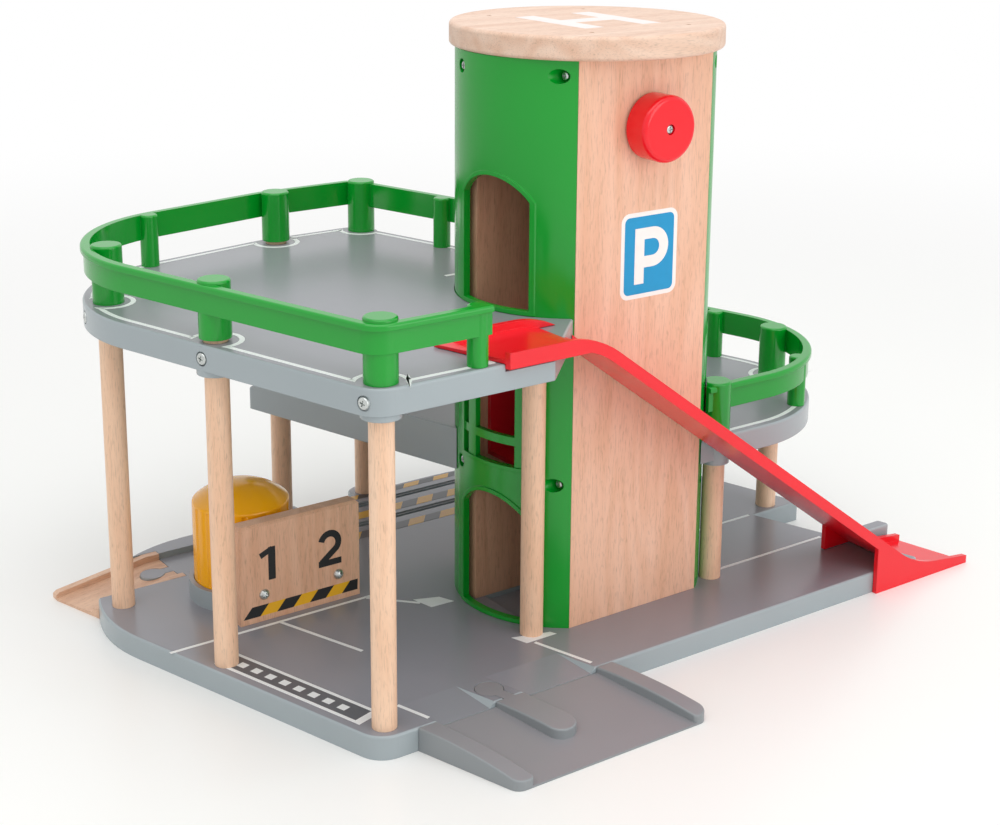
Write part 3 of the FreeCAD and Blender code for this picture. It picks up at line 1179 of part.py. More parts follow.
def make_front_ramp():
    """The skewed front ramp with its curbs, its island and its tongue."""
    y_back = -FRONT_EDGE - SLIP
    y_foot = y_back - RAMP_L
    road = lane_strip(RAMP_X0, RAMP_X1, y_foot, y_back, 0, BASE_T, CURB_OUTER_ROUND, CURB_OUTER_ROUND)
    road = road.cut(road_wedge(y_foot, RAMP_FOOT_Z, y_back, RAMP_ROAD_Z, BASE_T + 5))
    inner_0, inner_1 = RAMP_X0 + RAMP_CURB_W, RAMP_X1 - RAMP_CURB_W
    blocks = [
        lane_strip(RAMP_X0, inner_0, y_foot, y_back, 0, BASE_T, CURB_OUTER_ROUND, CURB_INNER_ROUND),
        lane_strip(inner_1, RAMP_X1, y_foot, y_back, 0, BASE_T, CURB_INNER_ROUND, CURB_OUTER_ROUND),
        lane_strip(ISLAND_X0, ISLAND_X1, y_back - ISLAND_L, y_back, 0, BASE_T, ISLAND_ROUND, ISLAND_ROUND),
    ]
    above = ramp_top()
    blocks = [softened_top(block.cut(above)) for block in blocks]
    tongue_part = tongue(0, TONGUE_FLOOR + SLIP, BASE_T)
    tongue_part = tongue_part.cut(box(-BEYOND, BEYOND, -BEYOND, y_back - 0.01, 0, 2 * BASE_T))
    save("front_ramp", fused([road] + blocks + [tongue_part]))


def make_track_ramp():
    """The wooden ramp that brings the rail track down to the floor."""
    x1 = LANE_X - SLIP
    x0 = x1 - TRACK_RAMP_L
    y0, y1 = TRACK_Y0, TRACK_Y0 + TRACK_W
    outer = [(x0, 0), (x1, 0), (x1, BASE_T), (x1 - 8, BASE_T), (x0 + 2, TRACK_TIP_T), (x0, TRACK_TIP_T - 1.5)]
    shape = side_profile(outer, y0, y1)
    road_z = BASE_T - LANE_DEPTH
    channel = [(x0 - 1, 0.8), (x1 - 8, road_z), (x1 + 1, road_z), (x1 + 1, BASE_T + 2), (x0 - 1, BASE_T + 2)]
    shape = shape.cut(side_profile(channel, y0 + TRACK_CURB_W, y1 - TRACK_CURB_W))
    tip = [(slant_x(TRACK_TIP, y0 - 1, -1), y0 - 1, 0), (slant_x(TRACK_TIP, y1 + 1, -1), y1 + 1, 0),
           (x0 - 30, y1 + 1, 0), (x0 - 30, y0 - 1, 0)]
    shape = shape.cut([track_tongue(SLIP, -1, BASE_T + 1), plate(tip, -1, BASE_T + 1)])
    save("track_ramp", shape)


def main():
    """Make every sub-part and write one STEP file for each."""
    os.makedirs("parts", exist_ok=True)
    make_base()
    make_decks()
    make_railings()
    make_columns()
    make_tower()
    make_lift()
    make_board()
    make_drum()
    make_slide()
    make_front_ramp()
    make_track_ramp()
    for name, shape in MADE.items():
        print(name, shape.isValid(), len(shape.Solids), round(shape.Volume / 1000, 2))
        shape.exportStep("parts/" + name + ".step")


main()
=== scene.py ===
import math

import bpy
import numpy as np
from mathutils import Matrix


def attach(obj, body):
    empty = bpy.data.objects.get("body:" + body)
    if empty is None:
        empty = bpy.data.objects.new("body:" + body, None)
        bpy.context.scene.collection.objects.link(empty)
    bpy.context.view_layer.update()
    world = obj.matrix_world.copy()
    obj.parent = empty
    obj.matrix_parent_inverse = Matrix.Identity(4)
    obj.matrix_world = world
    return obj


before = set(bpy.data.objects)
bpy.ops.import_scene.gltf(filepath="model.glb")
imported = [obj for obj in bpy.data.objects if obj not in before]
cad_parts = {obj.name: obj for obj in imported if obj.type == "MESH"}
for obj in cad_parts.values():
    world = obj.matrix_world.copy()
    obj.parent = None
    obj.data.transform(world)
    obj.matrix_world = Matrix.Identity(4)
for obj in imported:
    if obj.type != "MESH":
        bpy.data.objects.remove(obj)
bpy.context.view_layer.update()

# Base board: one large injection moulding in silver grey ABS, hollow below, with sockets that the
# columns are pressed into. Its top has a fine satin texture; its smooth rim gets a lighter colour, painted
# sheen.
MM = 0.001
ABS_TOP = "#8F9097"
ABS_RIM_PAINTED_SHEEN = "#A0AAAE"
ABS_GRIT_MM = 0.9        # real texture is near 0.1 mm, drawn coarser so that it shows
ABS_EDGE_MM = 0.5        # worn-in softness of moulded edges


def linear(code):
    """Linear RGBA of an sRGB hex colour: each channel is undone by the sRGB curve."""
    part = np.array([int(code[i:i + 2], 16) for i in (1, 3, 5)]) / 255
    part = np.where(part <= 0.04045, part / 12.92, ((part + 0.055) / 1.055) ** 2.4)
    return (*[float(v) for v in part], 1.0)


def add(tree, kind, inputs=(), **settings):
    """Adds one node. Settings are its own properties; inputs pair a socket with a value or with the
    socket that feeds it."""
    made = tree.nodes.new(kind)
    for name, value in settings.items():
        setattr(made, name, value)
    for socket, value in dict(inputs).items():
        if isinstance(value, bpy.types.NodeSocket):
            tree.links.new(value, made.inputs[socket])
        else:
            made.inputs[socket].default_value = value
    return made


def new_material(name):
    """A new material with its node tree, its Principled shader and its object coordinates."""
    made = bpy.data.materials.new(name)
    made.use_nodes = True
    tree = made.node_tree
    return made, tree, tree.nodes["Principled BSDF"], add(tree, "ShaderNodeTexCoord").outputs["Object"]


def moulded(name, colour, rim, roughness, rim_roughness):
    """Satin moulded plastic whose upward faces have one colour and finish and whose sides another,
    a little cloudy all over. The side colour is painted sheen, the light that the sides catch."""
    made, tree, shader, place = new_material(name)
    facing = add(tree, "ShaderNodeNewGeometry").outputs["Normal"]
    height = add(tree, "ShaderNodeSeparateXYZ", {0: facing}).outputs["Z"]
    upward = add(tree, "ShaderNodeMapRange", {0: height, 1: 0.90, 2: 0.99}).outputs[0]
    cloud = add(tree, "ShaderNodeTexNoise", {"Vector": place, "Scale": 14.0, "Detail": 3.0}).outputs["Fac"]
    worn = add(tree, "ShaderNodeMapRange", {0: cloud, 1: 0.3, 2: 0.7, 3: 0.96, 4: 1.03}).outputs[0]
    # upward faces take the top colour and the sides the rim colour, which is painted sheen
    base = add(tree, "ShaderNodeMix", {0: upward, 6: linear(rim), 7: linear(colour)}, data_type="RGBA")
    shade = add(tree, "ShaderNodeHueSaturation", {"Value": worn, "Color": base.outputs[2]})
    tree.links.new(shade.outputs[0], shader.inputs["Base Color"])
    rough = add(tree, "ShaderNodeMix", {0: upward, 2: rim_roughness, 3: roughness})
    uneven = add(tree, "ShaderNodeMath", {0: rough.outputs[0], 1: worn}, operation="MULTIPLY")
    tree.links.new(uneven.outputs[0], shader.inputs["Roughness"])
    grit = add(tree, "ShaderNodeTexNoise", {"Vector": place, "Scale": 1 / (ABS_GRIT_MM * MM), "Detail": 2.0})
    soft = add(tree, "ShaderNodeBevel", {"Radius": ABS_EDGE_MM * MM}, samples=4)
    bump = add(tree, "ShaderNodeBump", {"Strength": 0.1, "Distance": 0.08 * MM, "Height": grit.outputs["Fac"],
                                        "Normal": soft.outputs[0]})
    tree.links.new(bump.outputs[0], shader.inputs["Normal"])
    shader.inputs["IOR"].default_value = 1.53
    return made


def dress(material, *nodes):
    """Gives CAD nodes one finish."""
    for name in nodes:
        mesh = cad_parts[name].data
        mesh.materials.clear()
        mesh.materials.append(material)


# the lighter rim colour is painted sheen on the sides of the mouldings
silver_abs = moulded("silver_grey_abs", ABS_TOP, ABS_RIM_PAINTED_SHEEN, 0.25, 0.24)
dress(silver_abs, "base_board")

# Road lines on the base: white ink pad-printed straight on the moulding, a few hundredths of a
# millimetre thick, drawn as flat ribbons a tenth thick. The left edge carries a strip of windows.
BASE_TOP = 12.0
INK_T = 0.10
SLANT = math.radians(16.5)
LINE_W = 2.0
STRIP_MID = 190.7        # distance of the window strip from the tower axis
STRIP_W = 13.0
PANE_FROM = -57.0        # front edge of the first window pane
PANE_STEP = 9.3
PANE_COUNT = 8
PANE_L, PANE_W = 4.8, 4.4


def ribbon(path, width, z, closed=False, thick=INK_T):
    """Vertices and faces of a flat ribbon: every point of the path is moved half the width to the
    left and to the right, along the mean normal of its two edges, and the strip gets a thickness."""
    p = np.array(path, float)
    if closed:
        before, after = p - np.roll(p, 1, 0), np.roll(p, -1, 0) - p
    else:
        step = np.diff(p, axis=0)
        before, after = np.vstack([step[:1], step]), np.vstack([step, step[-1:]])
    before /= np.linalg.norm(before, axis=1)[:, None]
    after /= np.linalg.norm(after, axis=1)[:, None]
    mean = before + after
    mean /= np.linalg.norm(mean, axis=1)[:, None]
    normal = np.c_[-mean[:, 1], mean[:, 0]] / np.sum(mean * before, axis=1)[:, None]
    left, right = p + normal * width / 2, p - normal * width / 2
    n = len(p)
    rows = [np.c_[q, np.full(n, h)]
            for q, h in ((left, z + thick), (right, z + thick), (right, z), (left, z))]
    i = np.arange(n if closed else n - 1)
    j = (i + 1) % n
    faces = np.vstack([np.c_[a * n + i, b * n + i, b * n + j, a * n + j]
                       for a, b in ((0, 1), (1, 2), (2, 3), (3, 0))])
    if not closed:
        ends = np.array([[0, 3 * n, 2 * n, n], [n - 1, 2 * n - 1, 3 * n - 1, 4 * n - 1]])
        faces = np.vstack([faces, ends])
    return np.vstack(rows), faces


def slab(corners, z, thick=INK_T):
    """Vertices and faces of a flat four cornered plate, its corners given anticlockwise."""
    p = np.array(corners, float)
    verts = np.vstack([np.c_[p, np.full(4, z + thick)], np.c_[p, np.full(4, z)]])
    faces = np.array([[0, 1, 2, 3], [7, 6, 5, 4], [0, 4, 5, 1], [1, 5, 6, 2], [2, 6, 7, 3], [3, 7, 4, 0]])
    return verts, faces


def printed(name, shapes, material, turn=None):
    """One mesh object of the garage body from several arrays in millimetres. Turn maps the arrays'
    own axes to the row frame."""
    starts = np.cumsum([0] + [len(v) for v, _ in shapes])
    points = np.vstack([v for v, _ in shapes])
    if turn is not None:
        points = turn(points)
    faces = np.vstack([f + k for (_, f), k in zip(shapes, starts)])
    mesh = bpy.data.meshes.new(name)
    mesh.from_pydata((points * MM).tolist(), [], faces.tolist())
    mesh.update()
    made = bpy.data.objects.new(name, mesh)
    bpy.context.scene.collection.objects.link(made)
    mesh.materials.append(material)
    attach(made, "garage")


def ink(name, colour, roughness):
    """Printed ink: a flat colour that is a little patchy, with the sheen of what lies under it."""
    made, tree, shader, place = new_material(name)
    cloud = add(tree, "ShaderNodeTexNoise", {"Vector": place, "Scale": 160.0, "Detail": 3.0}).outputs["Fac"]
    worn = add(tree, "ShaderNodeMapRange", {0: cloud, 1: 0.3, 2: 0.7, 3: 0.95, 4: 1.0}).outputs[0]
    shade = add(tree, "ShaderNodeHueSaturation", {"Value": worn, "Color": linear(colour)})
    tree.links.new(shade.outputs[0], shader.inputs["Base Color"])
    shader.inputs["Roughness"].default_value = roughness
    return made


def on_edge(distance, y):
    """The point at height y on a line that runs along the slanted left edge."""
    return -(distance + math.sin(SLANT) * y) / math.cos(SLANT), y


white_ink = ink("white_road_ink", "#F0F3F3", 0.3)
z = BASE_TOP
lines = [
    ribbon([on_edge(STRIP_MID - STRIP_W / 2, 21), on_edge(STRIP_MID - STRIP_W / 2, -70)], LINE_W, z),
    ribbon([on_edge(STRIP_MID + STRIP_W / 2, 21), on_edge(STRIP_MID + STRIP_W / 2, -70)], LINE_W, z),
    ribbon([on_edge(STRIP_MID, 19.0), on_edge(STRIP_MID, 22.0)], STRIP_W + LINE_W, z + 0.01),
    ribbon([on_edge(STRIP_MID, -71.0), on_edge(STRIP_MID, -67.0)], STRIP_W + LINE_W, z + 0.01),
    ribbon([(-226, 43.2), (-108, 43.2)], LINE_W, z),
    ribbon([(-163.2, 42.2), (-145.2, -9.9)], LINE_W, z),
    ribbon([(-160.5, -67.5), (-154.9, -86.0)], LINE_W, z),
    ribbon([(-67.6, -52), (-57.6, -86.0)], LINE_W, z),
    ribbon([(-90.6, 20.5), (-111, 42.2)], LINE_W, z),
    ribbon([(72, -38.3), (152, -38.3)], LINE_W, z),
    ribbon([(72, 10.0), (140, 10.0)], LINE_W, z),
    slab([(-74.5, -41.0), (-71.5, -50.5), (-52.5, -50.5), (-54.0, -47.0)], z + 0.01),
    slab([(-91.5, 26.0), (-88.5, 12.6), (-74.5, 12.0), (-78.0, 21.0)], z + 0.01),
]
edges = PANE_FROM + PANE_STEP * np.arange(PANE_COUNT)
panes = [ribbon([on_edge(STRIP_MID, y), on_edge(STRIP_MID, y + PANE_L)], PANE_W, z + 0.02)
         for y in edges]
strip = [ribbon([on_edge(STRIP_MID, -67.0), on_edge(STRIP_MID, 19.0)], STRIP_W - LINE_W, z)]
printed("base_lines", lines + panes, white_ink)
printed("base_window_strip", strip, ink("dark_grey_ink", "#606368", 0.3))

# Rail crossing: the track's two grooves run across the base, each between moulded ribs, and blocks
# of yellow and dark ink warn beside them.
GROOVE_FLOOR = 9.0
RIB_H = 2.4
BLOCK_L = 11.2
BLOCK_LEAN = 0.8         # how far a block leans for each millimetre of its width
WARNING_ROWS = ((138.6, 147.4, -140.0, 20), (113.0, 121.4, -140.0, 20), (166.2, 171.8, -132.0, 17))
yellow_ink = ink("yellow_warning_ink", "#DDA63A", 0.3)
dark_ink = ink("black_warning_ink", "#45464A", 0.3)
ribs = []
for groove_y, end_x in ((130.9, 130), (157.0, 80)):
    for off in (-1.9, 1.9):
        ribs.append(ribbon([(-149, groove_y + off), (end_x, groove_y + off)], 1.0, GROOVE_FLOOR, thick=RIB_H))
printed("rail_ribs", ribs, silver_abs)
warnings = {0: [], 1: []}
for low, high, x0, count in WARNING_ROWS:
    lean = (high - low) * BLOCK_LEAN
    for k in range(count):
        x = x0 + BLOCK_L * k
        block = slab([(x, low), (x + BLOCK_L, low), (x + BLOCK_L + lean, high), (x + lean, high)], z)
        warnings[k % 2].append(block)
printed("rail_warning_dark", warnings[0], dark_ink)
printed("rail_warning_yellow", warnings[1], yellow_ink)

# Upper deck: a hollow silver grey ABS moulding that hangs on five columns and wraps the tower. A
# white line follows its edge and swings round the foot of every railing post.
UPPER_FLOOR = 180.0
EDGE_LINE_IN = 5.5
EDGE_LINE_W = 2.6
POST_RING_R = 12.5


def rounded(corners, steps=14):
    """Points along a closed outline: each corner (x, y, radius) becomes an arc that is tangent to
    both its edges."""
    c = np.array([k[:2] for k in corners], float)
    before = c - np.roll(c, 1, 0)
    after = np.roll(c, -1, 0) - c
    before /= np.linalg.norm(before, axis=1)[:, None]
    after /= np.linalg.norm(after, axis=1)[:, None]
    out = []
    for k, (point, u, v) in enumerate(zip(c, before, after)):
        radius = corners[k][2]
        if radius < 0.1:
            out.append(point[None])
            continue
        turn = math.acos(float(np.clip(u @ v, -1, 1)))
        sign = 1.0 if u[0] * v[1] - u[1] * v[0] > 0 else -1.0
        start = point - u * radius * math.tan(turn / 2)
        arm = sign * radius * np.array([u[1], -u[0]])
        a = np.linspace(0, sign * turn, steps)
        out.append(start - arm + np.c_[arm[0] * np.cos(a) - arm[1] * np.sin(a),
                                       arm[0] * np.sin(a) + arm[1] * np.cos(a)])
    return np.vstack(out)


def edge_line(corners, posts):
    """Points of the line inside a deck's edge: the outline is cut into even steps and moved inwards
    along its normal, and inside a ring round a post it follows the ring's inner side instead."""
    p = rounded(corners, 40)
    p = np.vstack([p, p[:1]])
    run = np.r_[0, np.cumsum(np.linalg.norm(np.diff(p, axis=0), axis=1))]
    at = np.arange(0, run[-1], 1.5)
    q = np.c_[np.interp(at, run, p[:, 0]), np.interp(at, run, p[:, 1])]
    along = np.roll(q, -1, 0) - np.roll(q, 1, 0)
    along /= np.linalg.norm(along, axis=1)[:, None]
    q = q + EDGE_LINE_IN * np.c_[-along[:, 1], along[:, 0]]
    for centre in posts:
        arm = q - centre
        inside = np.flatnonzero(np.hypot(arm[:, 0], arm[:, 1]) < POST_RING_R)
        first, last = (math.atan2(arm[k, 1], arm[k, 0]) for k in (inside[0], inside[-1]))
        turn = np.linspace(first, last - 2 * math.pi if last > first else last, len(inside))
        q[inside] = np.array(centre) + POST_RING_R * np.c_[np.cos(turn), np.sin(turn)]
    return q


dress(silver_abs, "upper_deck")
upper_edge = [(-43.2, -48.2, 0), (11.8, 48.2, 0), (-29.3, 187.0, 12), (-93.3, 187.0, 60), (-258.8, 157.8, 82),
              (-185.1, -91.0, 14), (-87.0, -91.0, 2)]
upper_posts = [(-31.0, 176.0), (-89.0, 176.0), (-221.8, 109.5), (-207.3, 17.6), (-175.9, -80.6)]
path = edge_line(upper_edge, upper_posts)
path = path[(path[:, 1] > 58) | (path[:, 0] < -117)]
path = np.vstack([[(-50.0, 56.5), (0.0, 56.5)], path[path[:, 1] > -90][:-1], [(-117, -46.0), (-76, -46.0)]])
printed("upper_deck_lines", [ribbon(path, EDGE_LINE_W, UPPER_FLOOR)], white_ink)

# Middle deck: the same silver grey moulding one storey lower, round the right and the back of the
# tower, with the same white line inside its edge.
MIDDLE_FLOOR = 96.0
dress(silver_abs, "middle_deck")
middle_edge = [(-59.9, 0.0, 0), (40.2, -47.5, 0), (198.2, -47.5, 76), (132.2, 175.0, 150), (-111.7, 175.0, 3)]
path = edge_line(middle_edge, [(161.2, 17.8), (-31.0, 176.0), (-89.0, 176.0)])
path = path[((path[:, 0] > 66) | (path[:, 1] > 58)) & (path[:, 0] > -104)]
printed("middle_deck_lines", [ribbon(path, EDGE_LINE_W, MIDDLE_FLOOR)], white_ink)

# Front ramp: a loose moulding in the same family of grey, a shade darker and more matt. Its tongue
# drops into the base's socket.
# its side colour, a little bluer than its top, is painted sheen as on the board
ramp_abs = moulded("ramp_grey_abs", "#8F8E92", "#8B9093", 0.36, 0.36)
dress(ramp_abs, "front_ramp")

# Railings: one glossy green ABS moulding for each deck, polished mould, pushed over the columns.
GREEN = "#009A28"


def glossy(name, colour, roughness, wave_mm):
    """Glossy moulded plastic: one colour, a faint ripple from the mould and slightly uneven gloss."""
    made, tree, shader, place = new_material(name)
    cloud = add(tree, "ShaderNodeTexNoise", {"Vector": place, "Scale": 22.0, "Detail": 2.0}).outputs["Fac"]
    gloss = add(tree, "ShaderNodeMapRange",
                {0: cloud, 1: 0.3, 2: 0.7, 3: roughness * 0.85, 4: roughness * 1.2})
    tree.links.new(gloss.outputs[0], shader.inputs["Roughness"])
    tone = add(tree, "ShaderNodeMapRange", {0: cloud, 1: 0.3, 2: 0.7, 3: 0.97, 4: 1.03})
    shade = add(tree, "ShaderNodeHueSaturation", {"Value": tone.outputs[0], "Color": linear(colour)})
    tree.links.new(shade.outputs[0], shader.inputs["Base Color"])
    ripple = add(tree, "ShaderNodeTexNoise", {"Vector": place, "Scale": 1 / (wave_mm * MM), "Detail": 1.0})
    soft = add(tree, "ShaderNodeBevel", {"Radius": ABS_EDGE_MM * MM}, samples=4)
    bump = add(tree, "ShaderNodeBump", {"Strength": 0.1, "Distance": 0.2 * MM,
                                        "Height": ripple.outputs["Fac"], "Normal": soft.outputs[0]})
    tree.links.new(bump.outputs[0], shader.inputs["Normal"])
    shader.inputs["IOR"].default_value = 1.53
    return made


railing_abs = glossy("green_railing_abs", GREEN, 0.16, 7.0)
dress(railing_abs, "upper_railing", "middle_railing")

# Tower covers: two curved shells in the same green ABS, screwed to the edges of the wooden panels,
# with raised mouldings round the doors. Their broad faces are a little less glossy.
cover_abs = glossy("green_cover_abs", GREEN, 0.22, 12.0)
dress(cover_abs, "left_cover", "right_cover")

# Slide: one long channel in glossy red ABS with rounded lips, hung in a step of the upper deck.
slide_abs = glossy("red_slide_abs", "#EE0C20", 0.22, 9.0)
dress(slide_abs, "slide")

# Crank knob: solid red ABS, polished, held on its steel shaft by a screw from the front.
knob_abs = glossy("red_knob_abs", "#F2001A", 0.12, 16.0)
dress(knob_abs, "knob")

# Lift car: a red ABS box with open ends, scuffed to a duller gloss by what rolls through it.
car_abs = glossy("red_lift_car_abs", "#C81522", 0.34, 6.0)
dress(car_abs, "lift_car")

# Drum: yellow ABS, hollow, with shallow flutes and a domed lid, glued over a dowel in the base.
drum_abs = glossy("yellow_drum_abs", "#FFB200", 0.2, 6.0)
dress(drum_abs, "drum")

# Tower panels: three upright boards of sanded beech under clear lacquer, pale pinkish brown with
# slanted growth figures, fine darker pores and short ray flecks along the upright grain.
PORE_MM = 0.5
FLECK_MM = 1.4
RING_MM = 36.0
BEECH_EDGE_MM = 0.5


def beech(name, light, deep, along, seed, figure):
    """Beech with its grain along one axis. Broad noise stretched along the grain is cut into contour
    lines for the growth figure, and finer noise darkens pores and ray flecks."""
    made, tree, shader, place = new_material(name)

    def stretched(cross_mm, long_mm, detail):
        scale = [1 / (cross_mm * MM)] * 3
        scale[along] = 1 / (long_mm * MM)
        mapped = add(tree, "ShaderNodeMapping", {"Vector": place, "Location": (seed, seed * 0.7, seed * 0.3),
                                                 "Scale": scale})
        return add(tree, "ShaderNodeTexNoise", {"Vector": mapped.outputs[0], "Scale": 1.0, "Detail": detail,
                                                "Distortion": 0.2}).outputs["Fac"]

    broad = stretched(RING_MM, RING_MM * 7, 1.5)
    turns = add(tree, "ShaderNodeMath", {0: broad, 1: 55.0}, operation="MULTIPLY")
    wave = add(tree, "ShaderNodeMath", {0: turns.outputs[0]}, operation="SINE")
    rings = add(tree, "ShaderNodeMapRange", {0: wave.outputs[0], 1: -1.0, 2: 1.0}).outputs[0]
    band = stretched(8.0, 150.0, 3.0)
    bands = add(tree, "ShaderNodeMapRange", {0: band, 1: 0.35, 2: 0.68}).outputs[0]
    tint = add(tree, "ShaderNodeMix", {0: figure, 2: bands, 3: rings}).outputs[0]
    base = add(tree, "ShaderNodeMix", {0: tint, 6: linear(light), 7: linear(deep)}, data_type="RGBA")
    pore = stretched(PORE_MM, 7.0, 2.0)
    pores = add(tree, "ShaderNodeMapRange", {0: pore, 1: 0.52, 2: 0.74, 3: 1.0, 4: 0.78}).outputs[0]
    fleck = stretched(FLECK_MM, 5.0, 1.0)
    flecks = add(tree, "ShaderNodeMapRange", {0: fleck, 1: 0.62, 2: 0.72, 3: 1.0, 4: 0.88}).outputs[0]
    dark = add(tree, "ShaderNodeMath", {0: pores, 1: flecks}, operation="MULTIPLY")
    shade = add(tree, "ShaderNodeHueSaturation", {"Value": dark.outputs[0], "Color": base.outputs[2]})
    tree.links.new(shade.outputs[0], shader.inputs["Base Color"])
    rough = add(tree, "ShaderNodeMapRange", {0: pore, 1: 0.4, 2: 0.7, 3: 0.38, 4: 0.55})
    tree.links.new(rough.outputs[0], shader.inputs["Roughness"])
    soft = add(tree, "ShaderNodeBevel", {"Radius": BEECH_EDGE_MM * MM}, samples=4)
    bump = add(tree, "ShaderNodeBump", {"Strength": 0.25, "Distance": 0.06 * MM, "Height": dark.outputs[0],
                                        "Normal": soft.outputs[0]})
    tree.links.new(bump.outputs[0], shader.inputs["Normal"])
    return made


dress(beech("beech_front_panel", "#F1C5AA", "#E6B494", 2, 0.0, 0.45), "tower_front_panel", "tower_rear_panel")
dress(beech("beech_shaft_wall", "#DDAE8F", "#C9987A", 2, 9.4, 0.4), "shaft_wall")

# Columns: eight turned beech dowels of 12 mm, pressed into the base and screwed through the decks.
dress(beech("beech_dowel", "#F6D2B4", "#EABD9B", 2, 4.1, 0.25),
      *[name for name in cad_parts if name.startswith("column_")], "drum_pin")

# Roof: a beech disc with a rounded rim, nailed to the panels. A plain H is printed on it in white
# for a landing place.
ROOF_TOP = 321.0
H_BAR = 12.0
H_POST_X = 18.5
H_HALF_L = 29.5
dress(beech("beech_roof", "#EBCDB8", "#DDB59B", 0, 7.3, 0.4), "roof_disc")
cross = H_POST_X - H_BAR / 2
marks = [ribbon([(-H_POST_X, -H_HALF_L), (-H_POST_X, H_HALF_L)], H_BAR, ROOF_TOP),
         ribbon([(H_POST_X, -H_HALF_L), (H_POST_X, H_HALF_L)], H_BAR, ROOF_TOP),
         ribbon([(-cross, 0.0), (cross, 0.0)], H_BAR, ROOF_TOP)]
printed("landing_mark", marks, ink("white_roof_ink", "#F3E9E6", 0.45))

# Parking sign: a label stuck on the tower front, white with a blue field and a plain bold P.
SIGN_X, SIGN_Z = 4.0, 206.7
SIGN_W, SIGN_H, SIGN_RIM = 37.0, 45.0, 2.3
LABEL_T, LABEL_INK_T = 0.10, 0.06
FRONT_FACE = -49.2


def on_front(points):
    """Turns a flat drawing (across, up, out) to stand on the tower's front face."""
    return np.c_[points[:, 0], FRONT_FACE - points[:, 2], points[:, 1]]


def label(width, height, radius, z0, thick):
    """A rounded rectangle round the sign's centre as rows of cells: straight lines run across from
    its left to its right edge, and top, bottom and rim close the plate."""
    half = [(s * width / 2, t * height / 2, radius) for s, t in ((1, -1), (1, 1), (-1, 1), (-1, -1))]
    x, y = rounded(half, 12)[:24].T
    n = len(y)
    corners = [np.c_[SIGN_X + s * x, SIGN_Z + y, np.full(n, h)] for s, h in
               ((-1, z0 + thick), (1, z0 + thick), (1, z0), (-1, z0))]
    i = np.arange(n - 1)
    faces = np.vstack([np.c_[a * n + i, b * n + i, b * n + i + 1, a * n + i + 1]
                       for a, b in ((0, 1), (1, 2), (2, 3), (3, 0))])
    ends = np.array([[0, 3 * n, 2 * n, n], [n - 1, 2 * n - 1, 3 * n - 1, 4 * n - 1]])
    return np.vstack(corners), np.vstack([faces, ends])


label_white = ink("white_label_film", "#FBF6F2", 0.35)
printed("sign_border", [label(SIGN_W, SIGN_H, 5.0, 0.0, LABEL_T)], label_white, on_front)
field = label(SIGN_W - 2 * SIGN_RIM, SIGN_H - 2 * SIGN_RIM, 3.0, LABEL_T, LABEL_INK_T)
printed("sign_field", [field], ink("blue_label_ink", "#0098CF", 0.35), on_front)
bend = np.radians(np.linspace(90, -90, 20))
stem = ribbon([(SIGN_X - 6.4, SIGN_Z - 15.0), (SIGN_X - 6.4, SIGN_Z + 14.0)], 6.2, 0.16, thick=0.06)
bowl = np.vstack([[(SIGN_X - 9.5, SIGN_Z + 11.1)],
                  np.c_[SIGN_X + 2.2 + 7.4 * np.cos(bend), SIGN_Z + 3.7 + 7.4 * np.sin(bend)],
                  [(SIGN_X - 6.0, SIGN_Z - 3.7)]])
printed("sign_letter", [stem, ribbon(bowl, 6.0, 0.165, thick=0.06)], label_white, on_front)

# Number board: a beech board screwed to a bracket of the base, printed with plain digits and with
# a black and yellow warning strip.
BOARD_FACE = 48.9
BOARD_END = -112.4
BOARD_INK_T = 0.08
STRIP_LOW, STRIP_HIGH = 15.2, 21.2
STRIP_BLOCK = 9.85
STRIP_LEAN = 5.2
STRIP_START = -181.6
STRIP_COUNT = 7
dress(beech("beech_number_board", "#E9BB9C", "#D9A482", 2, 5.6, 0.35), "number_board")


def on_board(points):
    """Turns a flat drawing (across, up, out) to stand on the board's front face."""
    return np.c_[points[:, 0], BOARD_FACE - points[:, 2], points[:, 1]]


black_print = ink("black_board_ink", "#0B0E10", 0.45)
curl = np.radians(np.linspace(165, -40, 18))
two = np.vstack([np.c_[-129.4 + 5.3 * np.cos(curl), 46.2 + 5.4 * np.sin(curl)], [(-134.6, 35.6)]])
digits = [ribbon([(-164.2, 34.3), (-164.2, 52.7)], 4.2, 0, thick=BOARD_INK_T),
          ribbon([(-171.0, 48.6), (-164.0, 51.6)], 3.2, 0, thick=BOARD_INK_T + 0.001),
          ribbon(two, 3.7, 0, thick=BOARD_INK_T),
          ribbon([(-136.3, 35.0), (-122.4, 35.0)], 3.5, 0, thick=BOARD_INK_T + 0.001)]
printed("board_digits", digits, black_print, on_board)
blocks = {0: [], 1: []}
for k in range(STRIP_COUNT):
    x = STRIP_START + STRIP_BLOCK * k
    right, far = min(x + STRIP_BLOCK, BOARD_END), min(x + STRIP_BLOCK + STRIP_LEAN, BOARD_END)
    outline = [(x, STRIP_LOW), (right, STRIP_LOW), (far, STRIP_HIGH), (x + STRIP_LEAN, STRIP_HIGH)]
    blocks[k % 2].append(slab(outline, 0, thick=BOARD_INK_T))
printed("board_warning_black", blocks[0], black_print, on_board)
printed("board_warning_yellow", blocks[1], ink("yellow_board_ink", "#F0B417", 0.45), on_board)

# Track ramp: a short wooden rail track that hooks over the base's tongue, beech with its grain
# along the track, sanded but not lacquered.
dress(beech("beech_track", "#E6BFA2", "#CFA184", 0, 2.2, 0.3), "track_ramp")

